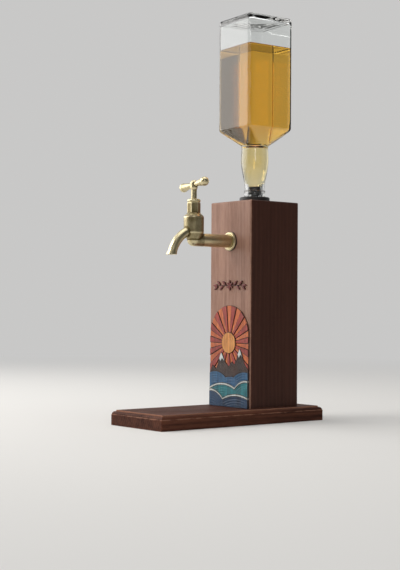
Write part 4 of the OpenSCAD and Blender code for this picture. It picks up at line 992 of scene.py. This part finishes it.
def neck_at(z):
    if z < 50:
        return 13.5 + 5.3 * (1 - math.cos(math.pi * (z - 9) / 41)) / 2
    return 18.8 - (1 - math.cos(math.pi / 2 * (z - 50) / 20))


print("neck is", round(2 * neck_at(50), 1), "mm wide at its bulge")

# %% [markdown]
# ## Clear glass and amber drink
# Glass bends light only if it is a real solid, so its roughness and faint waves come from the handling group
# and everything else is plain. The drink colours light by the distance that it travels inside, so its colour
# comes from absorption in the volume: pale in the neck, golden through the body.

# %% Glass and drink finishes
def clear(name, colour, bends, size, rough, waves=None):
    tree, shader, place = material(name)
    skin = use(tree, handled, {"Place": place, "Size": size, "Smooth": 0.0, "Rough": rough})
    into(tree, shader, {"Base Color": (*colour, 1), "Transmission Weight": 1.0, "IOR": bends,
                        "Roughness": skin["Roughness"]})
    if waves:
        into(tree, shader, {"Normal": bump(tree, skin["Drift"], waves, 0.2)})
    return tree


clear("clear_glass", (0.975, 0.99, 0.985), 1.5, 0.035, 0.05, 0.1 * MM)
tree = clear("amber_drink", (1.0, 0.97, 0.90), 1.36, 0.05, 0.02)
inside_colour = add(tree, "ShaderNodeVolumeAbsorption", {"Color": (0.966, 0.76, 0.05, 1), "Density": 38.0})
into(tree, tree.nodes["Material Output"].inputs, {"Volume": inside_colour.outputs[0]})
print("glass and drink finishes ready")

# %% Glass
low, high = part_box("bottle")
mouth = Vector(((low.x + high.x) / 2, (low.y + high.y) / 2, low.z))
tall = (high.z - low.z) / MM
turned_in_hand = math.radians(-4.7)
HALF, ROUND, WALL = 36.5, 4.0, 3.0
HALF_IN, ROUND_IN = HALF - WALL, ROUND - WALL
TIP, TIP_IN = [(half - corner) * math.sqrt(2) + corner for half, corner in ((HALF, ROUND), (HALF_IN, ROUND_IN))]


def opening(share, circle, half, tip, body):
    return smaller(circle + (tip - circle) * share, tip, 4.0), smaller(half + (body - half) * share, body, 2.4)


def rounded_end(z, bend, steps, tip, half, corner, tighten):
    rows = []
    for lean in np.linspace(0, math.pi / 2, steps):
        inset = bend * (1 - math.cos(lean))
        rows.append((z - bend + bend * math.sin(lean), tip - inset, half - inset, corner - tighten * inset))
    return rows


outside = circles((0, 13.2), (0.15, 13.8), (0.8, 14.45), (1.6, 14.5), (5.6, 14.5), (6.1, 14.4), (6.5, 14.0),
                  (6.9, 14.0), (7.3, 14.4), (7.7, 14.5), (8.3, 14.5), (8.7, 14.2), (9.1, 13.65), (9.8, 13.52))
outside += circles(*((z, neck_at(z)) for z in np.arange(11, 66.5, 1.5)))
outside += circles((66.6, 17.95), (67.1, 18.22), (67.8, 18.3), (69.2, 18.3), (69.8, 18.15))
for z in np.arange(70.2, 95.1, 1.2):
    share = (z - 70) / 21
    outside.append((z, *opening(share, 18.1, 17.8, TIP, HALF), ROUND * min(1, max(0.06, share) ** 2)))
outside += [(z, TIP, HALF, ROUND) for z in np.arange(100, tall - 5, 12)]
outside += rounded_end(tall, 4, 7, TIP, HALF, ROUND, 0.6)
outside += [(tall, HALF - 2.5, HALF - 5, 3), (tall, HALF - 6, HALF - 6, 8)]
outside += circles((tall - 0.1, HALF - 8), (tall - 0.5, HALF - 9.5))
outside += circles(*((tall - 3.5 * (1 - (r / 27.5) ** 2), r) for r in (23, 17, 11, 5)))


def inner_rings(top, fill_from=0.0):
    rows = circles((0.6, 9.5), (6, 9.5), (13, 9.5), (19, 9.5), (21, 9.9), (23.5, 10.9))
    rows += circles(*((z, neck_at(z) - 4.2) for z in np.arange(26, 69, 2.0)))
    for z in np.arange(69.5, 97, 1.5):
        share = min(1.0, max(0.0, (z - 70) / 22.5))
        rows.append((z, *opening(share, 14.0, 13.6, TIP_IN, HALF_IN), ROUND_IN * max(0.1, share)))
    rows += [(z, TIP_IN, HALF_IN, ROUND_IN) for z in np.arange(104, top - 6, 14)]
    return [row for row in rows if fill_from < row[0] < top - 3]


ceiling = tall - 6
within = circles((0, 10.1)) + inner_rings(ceiling) + rounded_end(ceiling, 2.5, 6, TIP_IN, HALF_IN, ROUND_IN, 0)
within += circles((ceiling, 22), (ceiling, 8))


def bottled(name, rings, finish, node, grow=0.0):
    points, faces = lofted(rings, grow)
    place = Matrix.Translation(mouth) @ Matrix.Rotation(turned_in_hand, 4, "Z") @ Matrix.Scale(MM, 4)
    mesh = bpy.data.meshes.new(name)
    mesh.from_pydata([place @ Vector(p) for p in points], [], faces)
    shade_softly(mesh, 60)
    stands_for(as_object(name, mesh, finish), node)


bottled("bottle_glass", outside[::-1] + within, "clear_glass", "bottle")

# %% [markdown]
# ## The drink
# The drink fills the glass from the stopper up to its level. It is a hair wider than the hollow, so that no
# film of air shines between drink and glass, and at the top it creeps up the wall in a small meniscus.

# %% Drink
low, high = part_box("drink")
floor_z, level = (low.z - mouth.z) / MM, (high.z - mouth.z) / MM
filled = circles((floor_z, 8.6), (floor_z + 0.3, 9.3))
filled += [row for row in inner_rings(level + 9, floor_z + 0.6) if row[0] < level - 2]
filled += [(level - drop, TIP_IN - step, HALF_IN - step, ROUND_IN)
           for drop, step in ((0.1, 0), (0.5, 0.7), (0.8, 2.0), (0.9, 6.5))]
filled += circles((level - 0.9, 18))
bottled("drink_inside", filled, "amber_drink", "drink", grow=0.04)

# %% [markdown]
# ## The floor
# The object stands on a plain pale floor that keeps its shadow. Far from the object the camera alone sees the
# floor fade into the tone of the wall, so that no line crosses the picture, and the light stays as it is.

# %% Floor
STUDIO, PALE = (1, 0.995, 0.985), 0.58
FLOOR_RADIUS, FLOOR_TONE = 14, (0.74, 0.73, 0.71, 1)
turns = np.linspace(0, 2 * math.pi, 64, endpoint=False)
around = [FLOOR_RADIUS * Vector((math.cos(a), math.sin(a), 0)) for a in turns]
floor_mesh = bpy.data.meshes.new("floor")
floor_mesh.from_pydata(around, [], [tuple(range(len(around)))])
tree, shader, place = material("floor")
even = use(tree, handled, {"Place": place, "Size": 0.4, "Smooth": 0.55, "Rough": 0.65})
away = add(tree, "ShaderNodeVectorMath", {0: place}, operation="LENGTH").outputs["Value"]
far = remap(tree, away, 0.3, 2.2) * add(tree, "ShaderNodeLightPath").outputs["Is Camera Ray"]
black = (0, 0, 0, 1)
into(tree, shader, {"Base Color": blend(tree, far, FLOOR_TONE, black), "Roughness": even["Roughness"],
                    "Specular IOR Level": 0.0, "Emission Strength": 1.0,
                    "Emission Color": blend(tree, far, black, (*(PALE * c for c in STUDIO), 1))})
as_object("floor", floor_mesh, "floor")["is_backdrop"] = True
print("floor laid, pale as", PALE, "far away")

# %% [markdown]
# ## Lamps
# Large soft lamps give the front of the post its even light and leave the side in shade, as in the
# photograph. The lamp on the left also makes the broad white band on the glass. Seen through the drink it
# would burn out to lemon yellow, so refracted rays pass it and meet a weaker lamp behind it.

# %% Lamps
def lamp(name, power, size, place, target, tint):
    data = bpy.data.lights.new(name, "AREA")
    data.shape, data.size, data.size_y, data.energy, data.color = "RECTANGLE", size[0], size[1], power, tint
    made = bpy.data.objects.new(name, data)
    bpy.context.collection.objects.link(made)
    made.location = place
    made.visible_camera = False
    made.rotation_mode = "QUATERNION"
    made.rotation_quaternion = (Vector(target) - Vector(place)).to_track_quat("-Z", "Y")
    return made


WARM, MILD, WHITE = (1, 0.98, 0.95), (1, 0.98, 0.96), (1, 1, 1)
lamp("front_softbox", 15, (1.1, 0.8), (-0.65, -1.45, 1.65), (0, 0, 0.25), WARM)
left_softbox = lamp("left_softbox", 17, (2.0, 1.3), (-1.35, -0.76, 0.80), (0, 0, 0.35), MILD)
left_softbox.visible_transmission = False
lamp("left_glow", 5, (2.2, 1.5), (-1.40, -0.79, 0.82), (0, 0, 0.35), MILD)
lamp("side_strip", 2.5, (0.3, 0.9), (1.5, -1.1, 0.9), (0, 0, 0.25), WHITE)
lamp("top_softbox", 52, (3.0, 3.0), (0.1, 0.3, 3.2), (0, 0, 0), WHITE)

# %% [markdown]
# ## The room
# What is seen in brass and glass is the room, so it differs by the kind of ray. The camera sees a pale wall.
# Brass sees that wall behind the object and a dim room in front, which gives its edges their dark lines.
# Glass sees the wall too, with a dark card on each side, as is done to draw the edges of a clear bottle.

# %% Room
ROOM, DIM = 0.07, 0.20
world = bpy.data.worlds.new("studio")
bpy.context.scene.world = world
world.use_nodes = True
tree = world.node_tree
path = add(tree, "ShaderNodeLightPath").outputs
looking = add(tree, "ShaderNodeTexCoord").outputs["Generated"]
facing = add(tree, "ShaderNodeVectorMath", {0: looking, 1: level_ahead}, operation="DOT_PRODUCT").outputs["Value"]


def pick(share, a, b):
    share = Sum(tree, share) if isinstance(share, bpy.types.NodeSocket) else share
    return share * b + (1.0 - share) * a


in_brass = remap(tree, facing, -0.1, 0.5, ROOM, PALE)
straight = maths(tree, "ABSOLUTE", facing)
card = remap(tree, straight, 0.15, 0.35) * remap(tree, straight, 0.60, 0.80, 1.0, 0.0)
strength = pick(path["Is Glossy Ray"], DIM, in_brass)
strength = pick(path["Is Transmission Ray"], strength, pick(card, PALE, ROOM))
strength = pick(path["Is Camera Ray"], strength, PALE)
into(tree, tree.nodes["Background"].inputs, {"Color": (*STUDIO, 1), "Strength": strength})
bpy.context.scene.view_settings.view_transform = "Standard"
print("room:", len(tree.nodes), "nodes")

# %% [markdown]
# ## What stays hidden
# The hose, its clamps, the valve and the threads sit inside the post and the tap. Their CAD shapes are
# right as they are, so they stay, and each only takes the finish of its kind.

# %% Kept nodes
kinds = {s["node"]: s["material_slot"] for s in frame["record"]["subparts"]}
for node, thing in frame["nodes"].items():
    for held in thing.material_slots:
        held.material = finishes[kinds[node]]
print("CAD nodes dressed:", len(kinds))

# %% [markdown]
# ## Size
# The dressed model is meant to stay the size of the CAD model, so its box is measured.

# %% Sizes
low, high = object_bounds()
